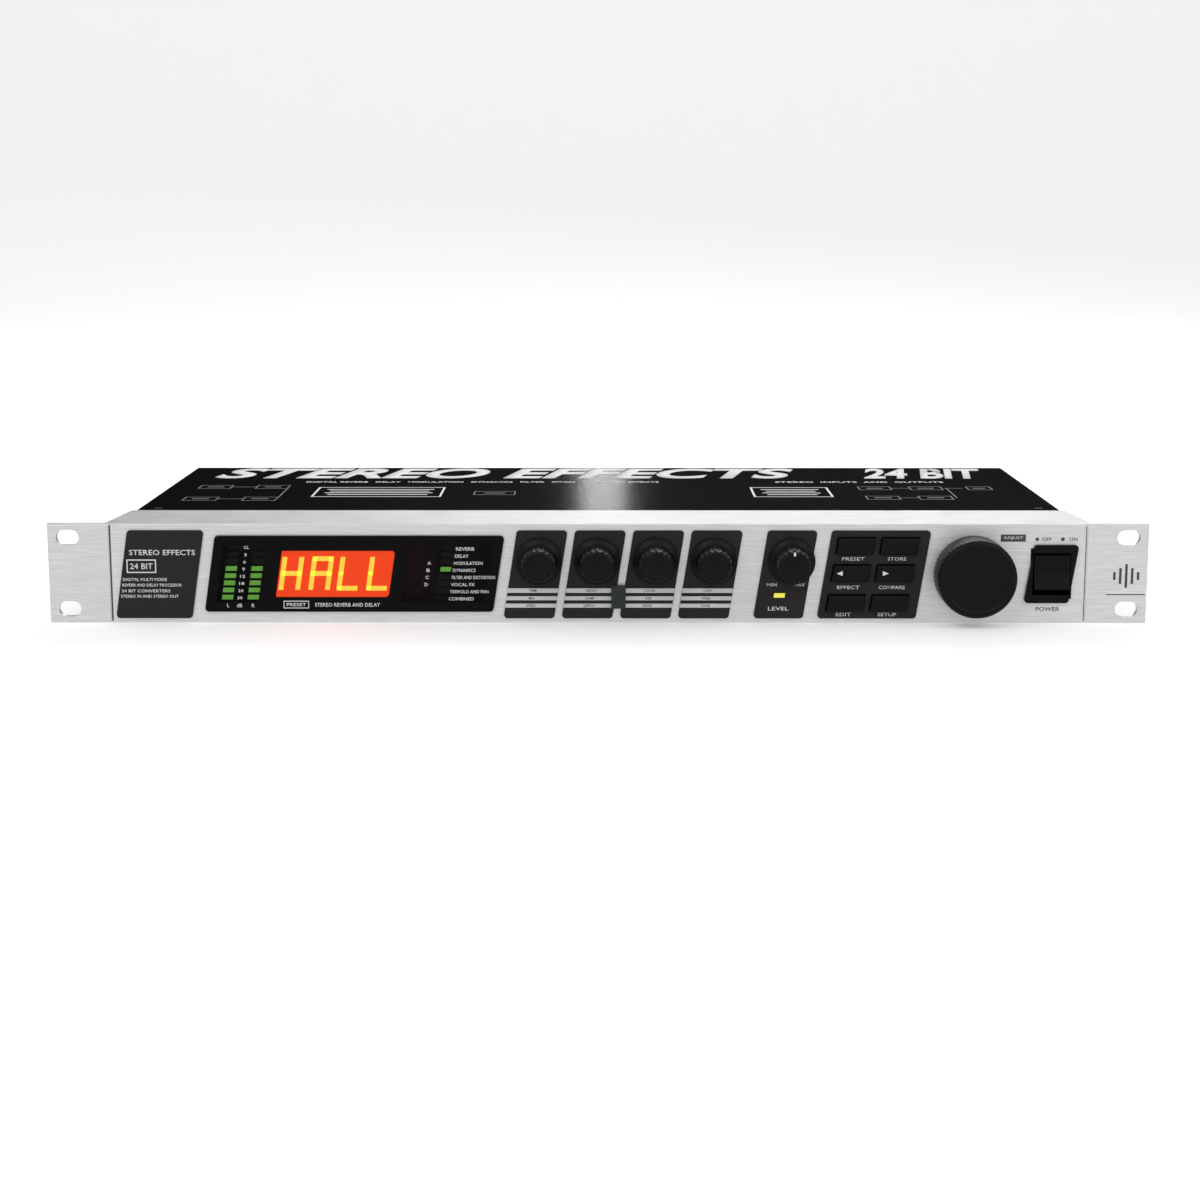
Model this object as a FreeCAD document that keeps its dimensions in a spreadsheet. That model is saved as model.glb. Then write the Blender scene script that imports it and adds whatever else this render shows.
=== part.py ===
"""A 1U rack effects unit: front panel with knobs, keys and display, steel tray, cover,
mains supply on the right and audio connectors on the rear.  Millimetres, +Z up, the
front faces -Y, and the origin is under the middle of the unit."""
import FreeCAD, Part
import math
import os
import re

import Sketcher
from FreeCAD import Placement, Rotation, Vector

doc = FreeCAD.newDocument("RackEffectsUnit")

# ---------------------------------------------------------------- driving sizes
SIZES = {
    # overall
    "panel_width": 482.6,
    "unit_height": 44.0,
    "mid_height": 22.0,
    "front_face": -91.5,
    "panel_thick": 3.0,
    "rear_face": 106.0,
    "sheet_thick": 1.2,
    "chassis_half": 211.0,
    # the panel's top and bottom lips, and the plates behind its ends
    "hood_depth": 41.6,
    "hood_thick": 1.5,
    "hood_half_front": 216.5,
    "hood_half_back": 212.5,
    "bracket_thick": 1.5,
    "bracket_screw_y": -70.0,
    "seam_x": 214.0,
    "seam_width": 1.4,
    "seam_depth": 0.5,
    # rack slots
    "rack_hole_x": 232.55,
    "rack_hole_rise": 15.875,
    "slot_length": 10.0,
    "slot_height": 6.8,
    # leaning plates on the face: lean is sideways shift per unit of height
    "lean": 0.156,
    "plate_thick": 0.8,
    "lens_thick": 1.2,
    "plate_corner": 1.6,
    "title_x": -192.35,
    "title_width": 33.5,
    "plate_low": 2.1,
    "plate_high": 41.2,
    "window_x": -106.9,
    "window_width": 127.0,
    "window_low": 5.0,
    "window_high": 38.9,
    "window_border": 3.5,
    "edit_plate_x": -27.3,
    "edit_pitch": 25.58,
    "edit_plate_width": 22.3,
    "level_plate_x": 82.4,
    "level_plate_width": 21.8,
    "key_plate_x": 121.25,
    "key_plate_width": 43.4,
    # display and lamps
    "display_x": -114.5,
    "display_width": 51.3,
    "display_low": 11.1,
    "display_high": 33.0,
    "display_corner": 0.8,
    "lamp_front": -91.0,
    "lamp_width": 5.0,
    "lamp_height": 2.2,
    "lamp_low": 11.3,
    "lamp_pitch": 3.2,
    "meter_left_x": -161.35,
    "meter_right_x": -150.05,
    "status_x": -67.1,
    "level_lamp_x": 79.8,
    "level_lamp_z": 12.45,
    "edit_lamp_x": 9.1,
    "edit_lamp_width": 6.2,
    "edit_lamp_low": 6.6,
    "edit_lamp_height": 10.3,
    # knobs and the data wheel
    "knob_x": -25.8,
    "knob_z": 27.7,
    "level_knob_x": 85.0,
    "knob_front": -108.5,
    "knob_back": -92.7,
    "knob_skirt_radius": 10.25,
    "knob_cap_radius": 7.4,
    "knob_skirt_depth": 3.0,
    "shaft_radius": 3.0,
    "shaft_front": -102.0,
    "shaft_back": -84.6,
    "wheel_x": 164.4,
    "wheel_radius": 17.25,
    "bush_radius": 3.6,
    "bush_hole_radius": 3.9,
    "bush_bore": 3.05,
    "rotary_size": 12.0,
    # keys
    "key_left_x": 110.95,
    "key_right_x": 130.1,
    "key_width": 16.0,
    "key_height": 7.1,
    "key_play": 0.4,
    "key_front": -94.0,
    "key_rim": 0.9,
    # front circuit board
    "board_front": -81.8,
    "board_thick": 1.6,
    # power switch
    "switch_x": 198.95,
    "switch_frame_width": 19.5,
    "switch_frame_low": 9.1,
    "switch_frame_height": 25.8,
    "switch_frame_front": -93.0,
    "switch_body_width": 18.2,
    "switch_body_height": 22.4,
    "rocker_width": 15.4,
    "rocker_cavity_width": 16.4,
    "rocker_cavity_height": 18.6,
    "rocker_pivot_y": -87.5,
    "rocker_pin_radius": 1.3,
    "rocker_tilt": 8.0,
    # cover
    "cover_lip_bottom": 32.5,
    "cover_lip_thick": 1.2,
    # mains inlet
    "inlet_x": 182.8,
    "inlet_flange_width": 42.6,
    "inlet_flange_low": 1.4,
    "inlet_flange_high": 31.9,
    "inlet_face": 108.5,
    "inlet_body_width": 28.4,
    "inlet_body_back": 78.0,
    "socket_width": 24.4,
    "socket_low": 4.25,
    "socket_height": 16.3,
    "socket_depth": 16.0,
    "drawer_width": 23.6,
    "drawer_low": 22.5,
    "drawer_height": 7.4,
    "drawer_depth": 25.0,
    # rear connectors
    "connector_z": 16.9,
    "din_x": 97.3,
    "din_pitch": 21.3,
    "xlr_out_x": -43.8,
    "xlr_in_x": -103.8,
    "channel_pitch": -88.2,
    "xlr_out_radius": 7.75,
    "xlr_in_radius": 9.85,
    "xlr_insert_radius": 7.4,
    "jack_x": -65.4,
    "jack_pitch": -16.65,
    "jack_z": 9.6,
    "jack_bore": 3.2,
    "jack_bush": 4.4,
    "jack_nut": 5.1,
    "jack_end": 108.0,
    "level_switch_x": -73.6,
    "level_switch_z": 23.2,
    # boards inside the case
    "main_board_z": 6.0,
    "main_board_back": 83.8,
    "main_board_front": 28.0,
    "supply_board_left": 96.0,
    "supply_board_right": 206.0,
    "supply_board_front": -45.0,
    "supply_board_back": 58.0,
}

sheet = doc.addObject("Spreadsheet::Sheet", "Sizes")
for row, (alias, size) in enumerate(SIZES.items(), start=1):
    sheet.set(f"A{row}", alias)
    sheet.set(f"B{row}", str(size))
    sheet.setAlias(f"B{row}", alias)
doc.recompute()

NODES = []


# ---------------------------------------------------------------- small helpers
def formula(text):
    """The text with each cell's name turned into a reference to the sheet."""
    def reference(match):
        word = match.group(0)
        return "Sizes." + word if word in SIZES else word
    return re.sub(r"[a-z][a-z_]*", reference, str(text))


def bind(item, **sizes):
    """Bind properties of an object to formulas; __ in a name stands for a dot."""
    for name, text in sizes.items():
        item.setExpression(name.replace("__", "."), formula(text))


def place(item, x, y, z):
    bind(item, Placement__Base__x=x, Placement__Base__y=y, Placement__Base__z=z)


def node(item, label):
    """Name a finished sub-part and list it for writing."""
    item.Label = label
    NODES.append(item)
    return item


def block(name, x, y, z, width, depth, height):
    """A box with its lowest corner at x, y, z."""
    item = doc.addObject("Part::Box", name)
    bind(item, Length=width, Width=depth, Height=height)
    place(item, x, y, z)
    return item


AXES = {
    "X": Rotation(Vector(0, 1, 0), 90),
    "Y": Rotation(Vector(1, 0, 0), -90),
    "Z": Rotation(),
}


def rod(name, radius, length, x, y, z, along="Y"):
    """A cylinder that starts at x, y, z and runs along one axis."""
    item = doc.addObject("Part::Cylinder", name)
    bind(item, Radius=radius, Height=length)
    item.Placement = Placement(Vector(), AXES[along])
    place(item, x, y, z)
    return item


def slab(name, mid_x, width, low, high, front, depth):
    """A plate that leans sideways as it rises; mid_x is its middle at mid-height."""
    rise = f"(({high}) - ({low}))"
    item = doc.addObject("Part::Wedge", name)
    bind(item, Xmin=0, Ymin=0, Zmin=0, Z2min=0, X2min=f"lean * {rise}",
         Xmax=width, Ymax=rise, Zmax=depth, Z2max=depth, X2max=f"({width}) + lean * {rise}")
    item.Placement = Placement(Vector(), Rotation(Vector(1, 0, 0), 90))
    place(item, f"{mid_x} - ({width}) / 2 + lean * (({low}) - mid_height)",
          f"{front} + ({depth})", low)
    return item


def rounded(name, base, radius):
    """The base with its edges that run front to back rounded."""
    doc.recompute()
    item = doc.addObject("Part::Fillet", name)
    item.Base = base
    size = SIZES[radius]
    item.Edges = [(i, size, size) for i, edge in enumerate(base.Shape.Edges, start=1)
                  if edge.BoundBox.XLength < 0.001 and edge.BoundBox.ZLength < 0.001]
    return item


def cut(name, base, tool):
    item = doc.addObject("Part::Cut", name)
    item.Base = base
    item.Tool = tool
    return item


def join(name, pieces):
    item = doc.addObject("Part::MultiFuse", name)
    item.Shapes = pieces
    return item


def group(name, pieces):
    """Separate solids that share one node."""
    item = doc.addObject("Part::Compound", name)
    item.Links = pieces
    return item


# ---------------------------------------------------------------- sketched bodies
def new_body(label):
    body = doc.addObject("PartDesign::Body", label)
    return node(body, label)


def new_sketch(body, name, plane, offset=0):
    """A sketch on one of the body's own planes, moved along the plane's normal."""
    sketch = body.newObject("Sketcher::SketchObject", name)
    own_plane = [f for f in body.Origin.OriginFeatures if f.Role == plane][0]
    sketch.AttachmentSupport = [(own_plane, "")]
    sketch.MapMode = "FlatFace"
    sketch.setExpression("AttachmentOffset.Base.z", formula(offset))
    return sketch


def dimension(sketch, kind, geometry, point, text):
    """A dimension from the sketch's origin to a point, bound to a formula."""
    index = sketch.addConstraint(Sketcher.Constraint(kind, -1, 1, geometry, point, 1.0))
    sketch.setExpression(f"Constraints[{index}]", formula(text))


def outline(sketch, corners):
    """A closed outline of straight lines through corners given as formulas."""
    count = len(corners)
    first = sketch.GeometryCount
    guess = [Vector(100 * math.cos(math.tau * i / count), 100 * math.sin(math.tau * i / count), 0)
             for i in range(count)]
    for i in range(count):
        sketch.addGeometry(Part.LineSegment(guess[i], guess[(i + 1) % count]), False)
    for i in range(count):
        line = first + i
        after = first + (i + 1) % count
        sketch.addConstraint(Sketcher.Constraint("Coincident", line, 2, after, 1))
        dimension(sketch, "DistanceX", line, 1, corners[i][0])
        dimension(sketch, "DistanceY", line, 1, corners[i][1])


def rectangle(sketch, left, low, width, height):
    right = f"({left}) + ({width})"
    high = f"({low}) + ({height})"
    outline(sketch, [(left, low), (right, low), (right, high), (left, high)])


def leaning(sketch, mid_x, width, low, high):
    """The outline of a slab."""
    def edge(side, z):
        return f"{mid_x} + {side} * ({width}) / 2 + lean * (({z}) - mid_height)"
    outline(sketch, [(edge(-1, low), low), (edge(1, low), low),
                     (edge(1, high), high), (edge(-1, high), high)])


def circle(sketch, x, y, radius):
    centre = Vector(10, 10, 0)
    index = sketch.addGeometry(Part.Circle(centre, Vector(0, 0, 1), 5), False)
    dimension(sketch, "DistanceX", index, 3, x)
    dimension(sketch, "DistanceY", index, 3, y)
    radial = sketch.addConstraint(Sketcher.Constraint("Radius", index, 5.0))
    sketch.setExpression(f"Constraints[{radial}]", formula(radius))


def rounded_slot(sketch, side, rise):
    """A rack slot: two level lines joined by half circles."""
    half = (SIZES["slot_length"] - SIZES["slot_height"]) / 2
    radius = SIZES["slot_height"] / 2
    x = side * SIZES["rack_hole_x"]
    z = SIZES["mid_height"] + rise * SIZES["rack_hole_rise"]
    up = Vector(0, 0, 1)
    right_end = Part.Circle(Vector(x + half, z, 0), up, radius)
    left_end = Part.Circle(Vector(x - half, z, 0), up, radius)
    quarter = math.pi / 2
    top, right, bottom, left = sketch.addGeometry([
        Part.LineSegment(Vector(x - half, z + radius, 0), Vector(x + half, z + radius, 0)),
        Part.ArcOfCircle(right_end, -quarter, quarter),
        Part.LineSegment(Vector(x + half, z - radius, 0), Vector(x - half, z - radius, 0)),
        Part.ArcOfCircle(left_end, quarter, 3 * quarter),
    ], False)
    for one, its_end, other, other_end in ((top, 2, right, 2), (right, 1, bottom, 1),
                                           (bottom, 2, left, 2), (left, 1, top, 1)):
        sketch.addConstraint(Sketcher.Constraint("Tangent", one, its_end, other, other_end))
    sketch.addConstraint(Sketcher.Constraint("Horizontal", top))
    radial = sketch.addConstraint(Sketcher.Constraint("Radius", right, radius))
    sketch.setExpression(f"Constraints[{radial}]", formula("slot_height / 2"))
    for arc, end in ((right, 1), (left, -1)):
        dimension(sketch, "DistanceX", arc, 3,
                  f"{side} * rack_hole_x + {end} * (slot_length - slot_height) / 2")
        dimension(sketch, "DistanceY", arc, 3, f"mid_height + {rise} * rack_hole_rise")


def pad(body, name, sketch, length, midplane=False, reverse=False):
    feature = body.newObject("PartDesign::Pad", name)
    feature.Profile = sketch
    feature.Reversed = reverse
    if midplane:
        feature.SideType = "Symmetric"
    bind(feature, Length=length)
    doc.recompute()
    return feature


def pocket(body, name, sketch, depth=None, midplane=False, reverse=False):
    """A cut against the sketch's normal, right through unless a depth is given."""
    before = body.Shape.Volume
    feature = body.newObject("PartDesign::Pocket", name)
    feature.Profile = sketch
    feature.Reversed = reverse
    if midplane:
        feature.SideType = "Symmetric"
    if depth is None:
        feature.Type = "ThroughAll"
    else:
        bind(feature, Length=depth)
    doc.recompute()
    if body.Shape.Volume > before - 0.01:
        raise RuntimeError(f"{name} removes nothing")
    return feature


def revolve(body, name, sketch):
    """Turn a sketch round its own vertical axis."""
    feature = body.newObject("PartDesign::Revolution", name)
    feature.Profile = sketch
    feature.ReferenceAxis = (sketch, ["V_Axis"])
    feature.Angle = 360
    doc.recompute()
    return feature


def soften(body, name, kind, feature, size, wanted):
    """Fillet or chamfer the edges whose middle passes a test."""
    edges = []
    for i, edge in enumerate(feature.Shape.Edges, start=1):
        middle = edge.valueAt((edge.FirstParameter + edge.LastParameter) / 2)
        if wanted(middle):
            edges.append(f"Edge{i}")
    dress = body.newObject("PartDesign::" + kind, name)
    dress.Base = (feature, edges)
    if kind == "Fillet":
        dress.Radius = size
    else:
        dress.Size = size
    doc.recompute()
    return dress


# ---------------------------------------------------------------- places that repeat
EDIT_KNOB_XS = [f"knob_x + {i} * edit_pitch" for i in range(4)]
EDIT_PLATE_XS = [f"edit_plate_x + {i} * edit_pitch" for i in range(4)]
ROTARY_PLACES = [(x, "knob_z") for x in EDIT_KNOB_XS]
ROTARY_PLACES += [("level_knob_x", "knob_z"), ("wheel_x", "mid_height")]
KEY_COLUMNS = {"left": "key_left_x", "right": "key_right_x"}
KEY_ROWS = {"top": 34.45, "middle": 22.4, "bottom": 9.1}
SIDES = (-1, 1)
DIN_XS = [f"din_x + {i} * din_pitch" for i in range(3)]
XLR_OUT_XS = [f"xlr_out_x + {i} * channel_pitch" for i in range(2)]
XLR_IN_XS = [f"xlr_in_x + {i} * channel_pitch" for i in range(2)]
JACK_XS = [f"jack_x + {i} * channel_pitch + {k} * jack_pitch" for i in range(2) for k in range(2)]
LEVEL_SWITCH_XS = [f"level_switch_x + {i} * channel_pitch" for i in range(2)]
LIP_SCREW_XS = (-204, 0, 204)
LIP_SCREW_Z = 37.0
TOP_SCREW_X = 202.0
TOP_SCREW_Y = -43.0


# ---------------------------------------------------------------- front panel
def make_front_panel():
    """Face plate with ears, and the two lips that fold back over the case."""
    body = new_body("front_panel")
    face = new_sketch(body, "PanelOutline", "XZ_Plane", "-front_face")
    rectangle(face, "-panel_width / 2", 0, "panel_width", "unit_height")
    plate = pad(body, "Plate", face, "panel_thick", reverse=True)
    front_y = SIZES["front_face"]
    soften(body, "FrontEdges", "Chamfer", plate, 0.4, lambda p: abs(p.y - front_y) < 0.01)

    for name, low in (("Bottom", "0"), ("Top", "unit_height - hood_thick")):
        lip = new_sketch(body, name + "LipOutline", "XY_Plane", low)
        back = "front_face + hood_depth"
        start = "front_face + panel_thick / 2"
        outline(lip, [("-hood_half_front", start), ("hood_half_front", start),
                      ("hood_half_back", back), ("-hood_half_back", back)])
        pad(body, name + "Lip", lip, "hood_thick")

    slots = new_sketch(body, "RackSlotOutlines", "XZ_Plane", "-front_face")
    for side in SIDES:
        for rise in SIDES:
            rounded_slot(slots, side, rise)
    pocket(body, "RackSlots", slots)

    windows = new_sketch(body, "PanelOpenings", "XZ_Plane", "-front_face")
    leaning(windows, "window_x", "window_width - 2 * window_border",
            "window_low + window_border", "window_high - window_border")
    for column in KEY_COLUMNS.values():
        for z in KEY_ROWS.values():
            leaning(windows, column, "key_width + 2 * key_play",
                    f"{z} - key_height / 2 - key_play", f"{z} + key_height / 2 + key_play")
    for x, z in ROTARY_PLACES:
        circle(windows, x, z, "bush_hole_radius")
    leaning(windows, "level_lamp_x - lean * (level_lamp_z - mid_height)", "lamp_width + 0.4",
            "level_lamp_z - lamp_height / 2 - 0.2", "level_lamp_z + lamp_height / 2 + 0.2")
    rectangle(windows, "switch_x - switch_body_width / 2 - 0.1",
              "mid_height - switch_body_height / 2 - 0.1",
              "switch_body_width + 0.2", "switch_body_height + 0.2")
    pocket(body, "Openings", windows)

    seams = new_sketch(body, "Seams", "XZ_Plane", "-front_face")
    for side in SIDES:
        rectangle(seams, f"{side} * seam_x - seam_width / 2", -1, "seam_width", "unit_height + 2")
    pocket(body, "SeamGrooves", seams, "seam_depth")


def make_side_brackets():
    """Steel angles that tie the panel to the tray, one at each end."""
    brackets = []
    for side in SIDES:
        inner = "chassis_half - sheet_thick"
        low_x = inner if side > 0 else f"-({inner}) - bracket_thick"
        wall = block("BracketWall", low_x, "front_face + panel_thick", "hood_thick",
                     "bracket_thick", "hood_depth - panel_thick - 0.1", "unit_height - 2 * hood_thick")
        low_x = f"{inner} + bracket_thick" if side > 0 else f"-({inner}) - bracket_thick - 5"
        lip = block("BracketLip", low_x, "front_face + panel_thick", "hood_thick + 1",
                    5, "bracket_thick", "unit_height - 2 * hood_thick - 2")
        hole = rod("BracketHole", 2.0, 10, f"{side} * (chassis_half) - 5", "bracket_screw_y",
                   "mid_height", "X")
        brackets.append(cut("Bracket", join("BracketAngle", [wall, lip]), hole))
    node(group("BracketPair", brackets), "side_brackets")


# ---------------------------------------------------------------- plates on the face
def plate(name, x, width, low="plate_low", high="plate_high", thick="plate_thick"):
    blank = slab(name + "Blank", x, width, low, high, f"front_face - {thick}", thick)
    return rounded(name, blank, "plate_corner")


def make_face_plates():
    node(plate("TitlePlate", "title_x", "title_width"), "title_plate")
    node(plate("Window", "window_x", "window_width", "window_low", "window_high", "lens_thick"),
         "display_window")

    plates = []
    for x, knob in zip(EDIT_PLATE_XS, EDIT_KNOB_XS):
        hole = rod("KnobHole", "bush_hole_radius", 3, knob, "front_face - 2", "knob_z")
        plates.append(cut("EditPlate", plate("EditBlank", x, "edit_plate_width"), hole))
    node(group("EditPlates", plates), "edit_plates")

    hole = rod("LevelHole", "bush_hole_radius", 3, "level_knob_x", "front_face - 2", "knob_z")
    lamp_hole = slab("LampHole", "level_lamp_x - lean * (level_lamp_z - mid_height)",
                     "lamp_width + 0.4", "level_lamp_z - lamp_height / 2 - 0.2",
                     "level_lamp_z + lamp_height / 2 + 0.2", "front_face - 2", 3)
    blank = plate("LevelBlank", "level_plate_x", "level_plate_width")
    node(cut("LevelPlate", blank, group("LevelHoles", [hole, lamp_hole])), "level_plate")

    openings = []
    for column in KEY_COLUMNS.values():
        for z in KEY_ROWS.values():
            openings.append(slab("KeyOpening", column, "key_width + 2 * key_play",
                                 f"{z} - key_height / 2 - key_play",
                                 f"{z} + key_height / 2 + key_play", "front_face - 2", 3))
    blank = plate("KeyBlank", "key_plate_x", "key_plate_width")
    node(cut("KeyPlate", blank, group("KeyOpenings", openings)), "button_plate")

    lens = block("EditLamp", "edit_lamp_x - edit_lamp_width / 2", "front_face - plate_thick - 1",
                 "edit_lamp_low", "edit_lamp_width", 1, "edit_lamp_height")
    node(lens, "edit_indicator")


# ---------------------------------------------------------------- display and lamps
def make_display():
    depth = "board_front - lamp_front"
    blank = slab("DisplayBlank", "display_x", "display_width", "display_low", "display_high",
                 "lamp_front", depth)
    node(rounded("Display", blank, "display_corner"), "led_display")

    lamps = []
    columns = (("meter_left_x", "lamp_low"), ("meter_right_x", "lamp_low"),
               ("status_x", "lamp_low - 0.3"))
    for column, lowest in columns:
        for i in range(8):
            z = f"{lowest} + {i} * lamp_pitch"
            lamps.append(slab("Lamp", column, "lamp_width", f"{z} - lamp_height / 2",
                              f"{z} + lamp_height / 2", "lamp_front", depth))
    lamps.append(slab("LevelLamp", "level_lamp_x - lean * (level_lamp_z - mid_height)",
                      "lamp_width", "level_lamp_z - lamp_height / 2",
                      "level_lamp_z + lamp_height / 2", "front_face - 1", "board_front - front_face + 1"))
    node(group("Lamps", lamps), "indicator_leds")

    node(block("FrontBoard", -174, "board_front", 4, 357, "board_thick", 36), "front_board")


# ---------------------------------------------------------------- rotary controls
def make_rotary_bodies():
    """Threaded bush and case of each encoder and of the level control."""
    bodies = []
    for x, z in ROTARY_PLACES:
        case = block("RotaryCase", f"{x} - rotary_size / 2", "front_face + panel_thick + 0.1",
                     f"{z} - rotary_size / 2", "rotary_size",
                     "board_front - front_face - panel_thick - 0.1", "rotary_size")
        bush = rod("Bush", "bush_radius", "front_face + panel_thick - knob_back", x,
                   "knob_back + 0.3", z)
        bore = rod("BushBore", "bush_bore", "shaft_back - knob_back + 0.2", x, "knob_back", z)
        bodies.append(cut("Rotary", join("RotaryBlank", [case, bush]), bore))
    node(group("RotaryBodies", bodies), "rotary_controls")


def make_shaft(label, x, z):
    shaft = rod("Shaft", "shaft_radius", "shaft_back - shaft_front", x, "shaft_front", z)
    node(shaft, label)


def make_knob(label, x, z):
    """A skirt, a short cone and a slightly tapered cap, bored for its shaft."""
    body = new_body(label)
    profile = new_sketch(body, label + "_profile", "XY_Plane")
    length = "(knob_back - knob_front)"
    bore = "(knob_back - shaft_front)"
    outline(profile, [
        ("shaft_radius", "0"),
        ("knob_skirt_radius", "0"),
        ("knob_skirt_radius", "-knob_skirt_depth"),
        ("knob_cap_radius + 0.5", "-knob_skirt_depth - 1.6"),
        ("knob_cap_radius", f"-{length}"),
        ("0", f"-{length}"),
        ("0", f"-{bore}"),
        ("shaft_radius", f"-{bore}"),
    ])
    turned = revolve(body, label + "_turned", profile)
    front = SIZES["knob_front"] - SIZES["knob_back"]
    soften(body, label + "_rim", "Fillet", turned, 0.8, lambda p: abs(p.y - front) < 0.01)
    place(body, x, "knob_back", z)


def make_data_wheel():
    """A broad drum with a dished face and a finger hollow."""
    body = new_body("data_wheel")
    profile = new_sketch(body, "WheelProfile", "XY_Plane")
    length = "(knob_back - knob_front)"
    bore = "(knob_back - shaft_front)"
    outline(profile, [
        ("shaft_radius", "0"),
        ("wheel_radius", "0"),
        ("wheel_radius - 0.6", f"-{length}"),
        ("wheel_radius - 3", f"-{length}"),
        ("wheel_radius - 4", f"0.7 - {length}"),
        ("0", f"0.7 - {length}"),
        ("0", f"-{bore}"),
        ("shaft_radius", f"-{bore}"),
    ])
    turned = revolve(body, "WheelTurned", profile)
    front = SIZES["knob_front"] - SIZES["knob_back"]
    rim = SIZES["wheel_radius"] - 1
    soften(body, "WheelRim", "Fillet", turned, 0.8,
           lambda p: abs(p.y - front) < 0.01 and math.hypot(p.x, p.z) > rim)
    place(body, "wheel_x", "knob_back", "mid_height")


# ---------------------------------------------------------------- keys and switches
def make_key(label, column, z):
    """A leaning cap with a rim behind the panel that keeps it in."""
    low = f"{z} - key_height / 2"
    high = f"{z} + key_height / 2"
    rim_front = "front_face + panel_thick + 0.2"
    cap = slab("KeyCap", column, "key_width", low, high, "key_front", f"{rim_front} - key_front")
    rim = slab("KeyRim", column, "key_width + 2 * key_rim", f"{low} - key_rim",
               f"{high} + key_rim", rim_front, 1)
    node(join("Key", [cap, rim]), label)


def make_key_switches():
    switches = []
    for column in KEY_COLUMNS.values():
        for z in KEY_ROWS.values():
            x = f"{column} + lean * ({z} - mid_height)"
            case = block("SwitchCase", f"{x} - 3", "board_front - 3.5", f"{z} - 3", 6, 3.5, 6)
            plunger = rod("Plunger", 1.6, 1, x, "board_front - 4.5", z)
            switches.append(join("KeySwitch", [case, plunger]))
    node(group("KeySwitches", switches), "tact_switches")


def make_power_switch():
    """Frame and body with a cavity for the rocker, and two tabs at the back."""
    blank = slab("SwitchFrameBlank", "switch_x", "switch_frame_width", "switch_frame_low",
                 "switch_frame_low + switch_frame_height", "switch_frame_front",
                 "front_face - switch_frame_front")
    frame = rounded("SwitchFrame", blank, "plate_corner")
    case = block("SwitchCase", "switch_x - switch_body_width / 2", "front_face",
                 "mid_height - switch_body_height / 2", "switch_body_width", 19, "switch_body_height")
    tabs = [block("SwitchTab", f"switch_x + {4 * side} - 2.4", "front_face + 19", "mid_height - 0.4",
                  4.8, 8, 0.8) for side in SIDES]
    cavity = block("SwitchCavity", "switch_x - rocker_cavity_width / 2", "switch_frame_front - 1",
                   "mid_height - rocker_cavity_height / 2", "rocker_cavity_width", 13.5,
                   "rocker_cavity_height")
    pivot = rod("PivotHole", "rocker_pin_radius + 0.06", "switch_body_width",
                "switch_x - switch_body_width / 2", "rocker_pivot_y", "mid_height", "X")
    solid = join("SwitchSolid", [frame, case] + tabs)
    node(cut("SwitchHousing", solid, join("SwitchHollow", [cavity, pivot])), "power_switch_housing")

    body = new_body("power_rocker")
    profile = new_sketch(body, "RockerProfile", "YZ_Plane")
    outline(profile, [(-6.2, 0), (-7.3, -7.5), (-1.5, -7.5), (4.6, -2.6),
                      (4.6, 2.6), (-1.5, 7.5), (-7.3, 7.5)])
    pad(body, "RockerPad", profile, "rocker_width", midplane=True)
    pivot = new_sketch(body, "RockerPivot", "YZ_Plane")
    circle(pivot, 0, 0, "rocker_pin_radius")
    pad(body, "RockerPin", pivot, "switch_body_width - 0.2", midplane=True)
    tilt = Rotation(Vector(1, 0, 0), -SIZES["rocker_tilt"])
    body.Placement = Placement(Vector(), tilt)
    place(body, "switch_x", "rocker_pivot_y", "mid_height")


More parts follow.
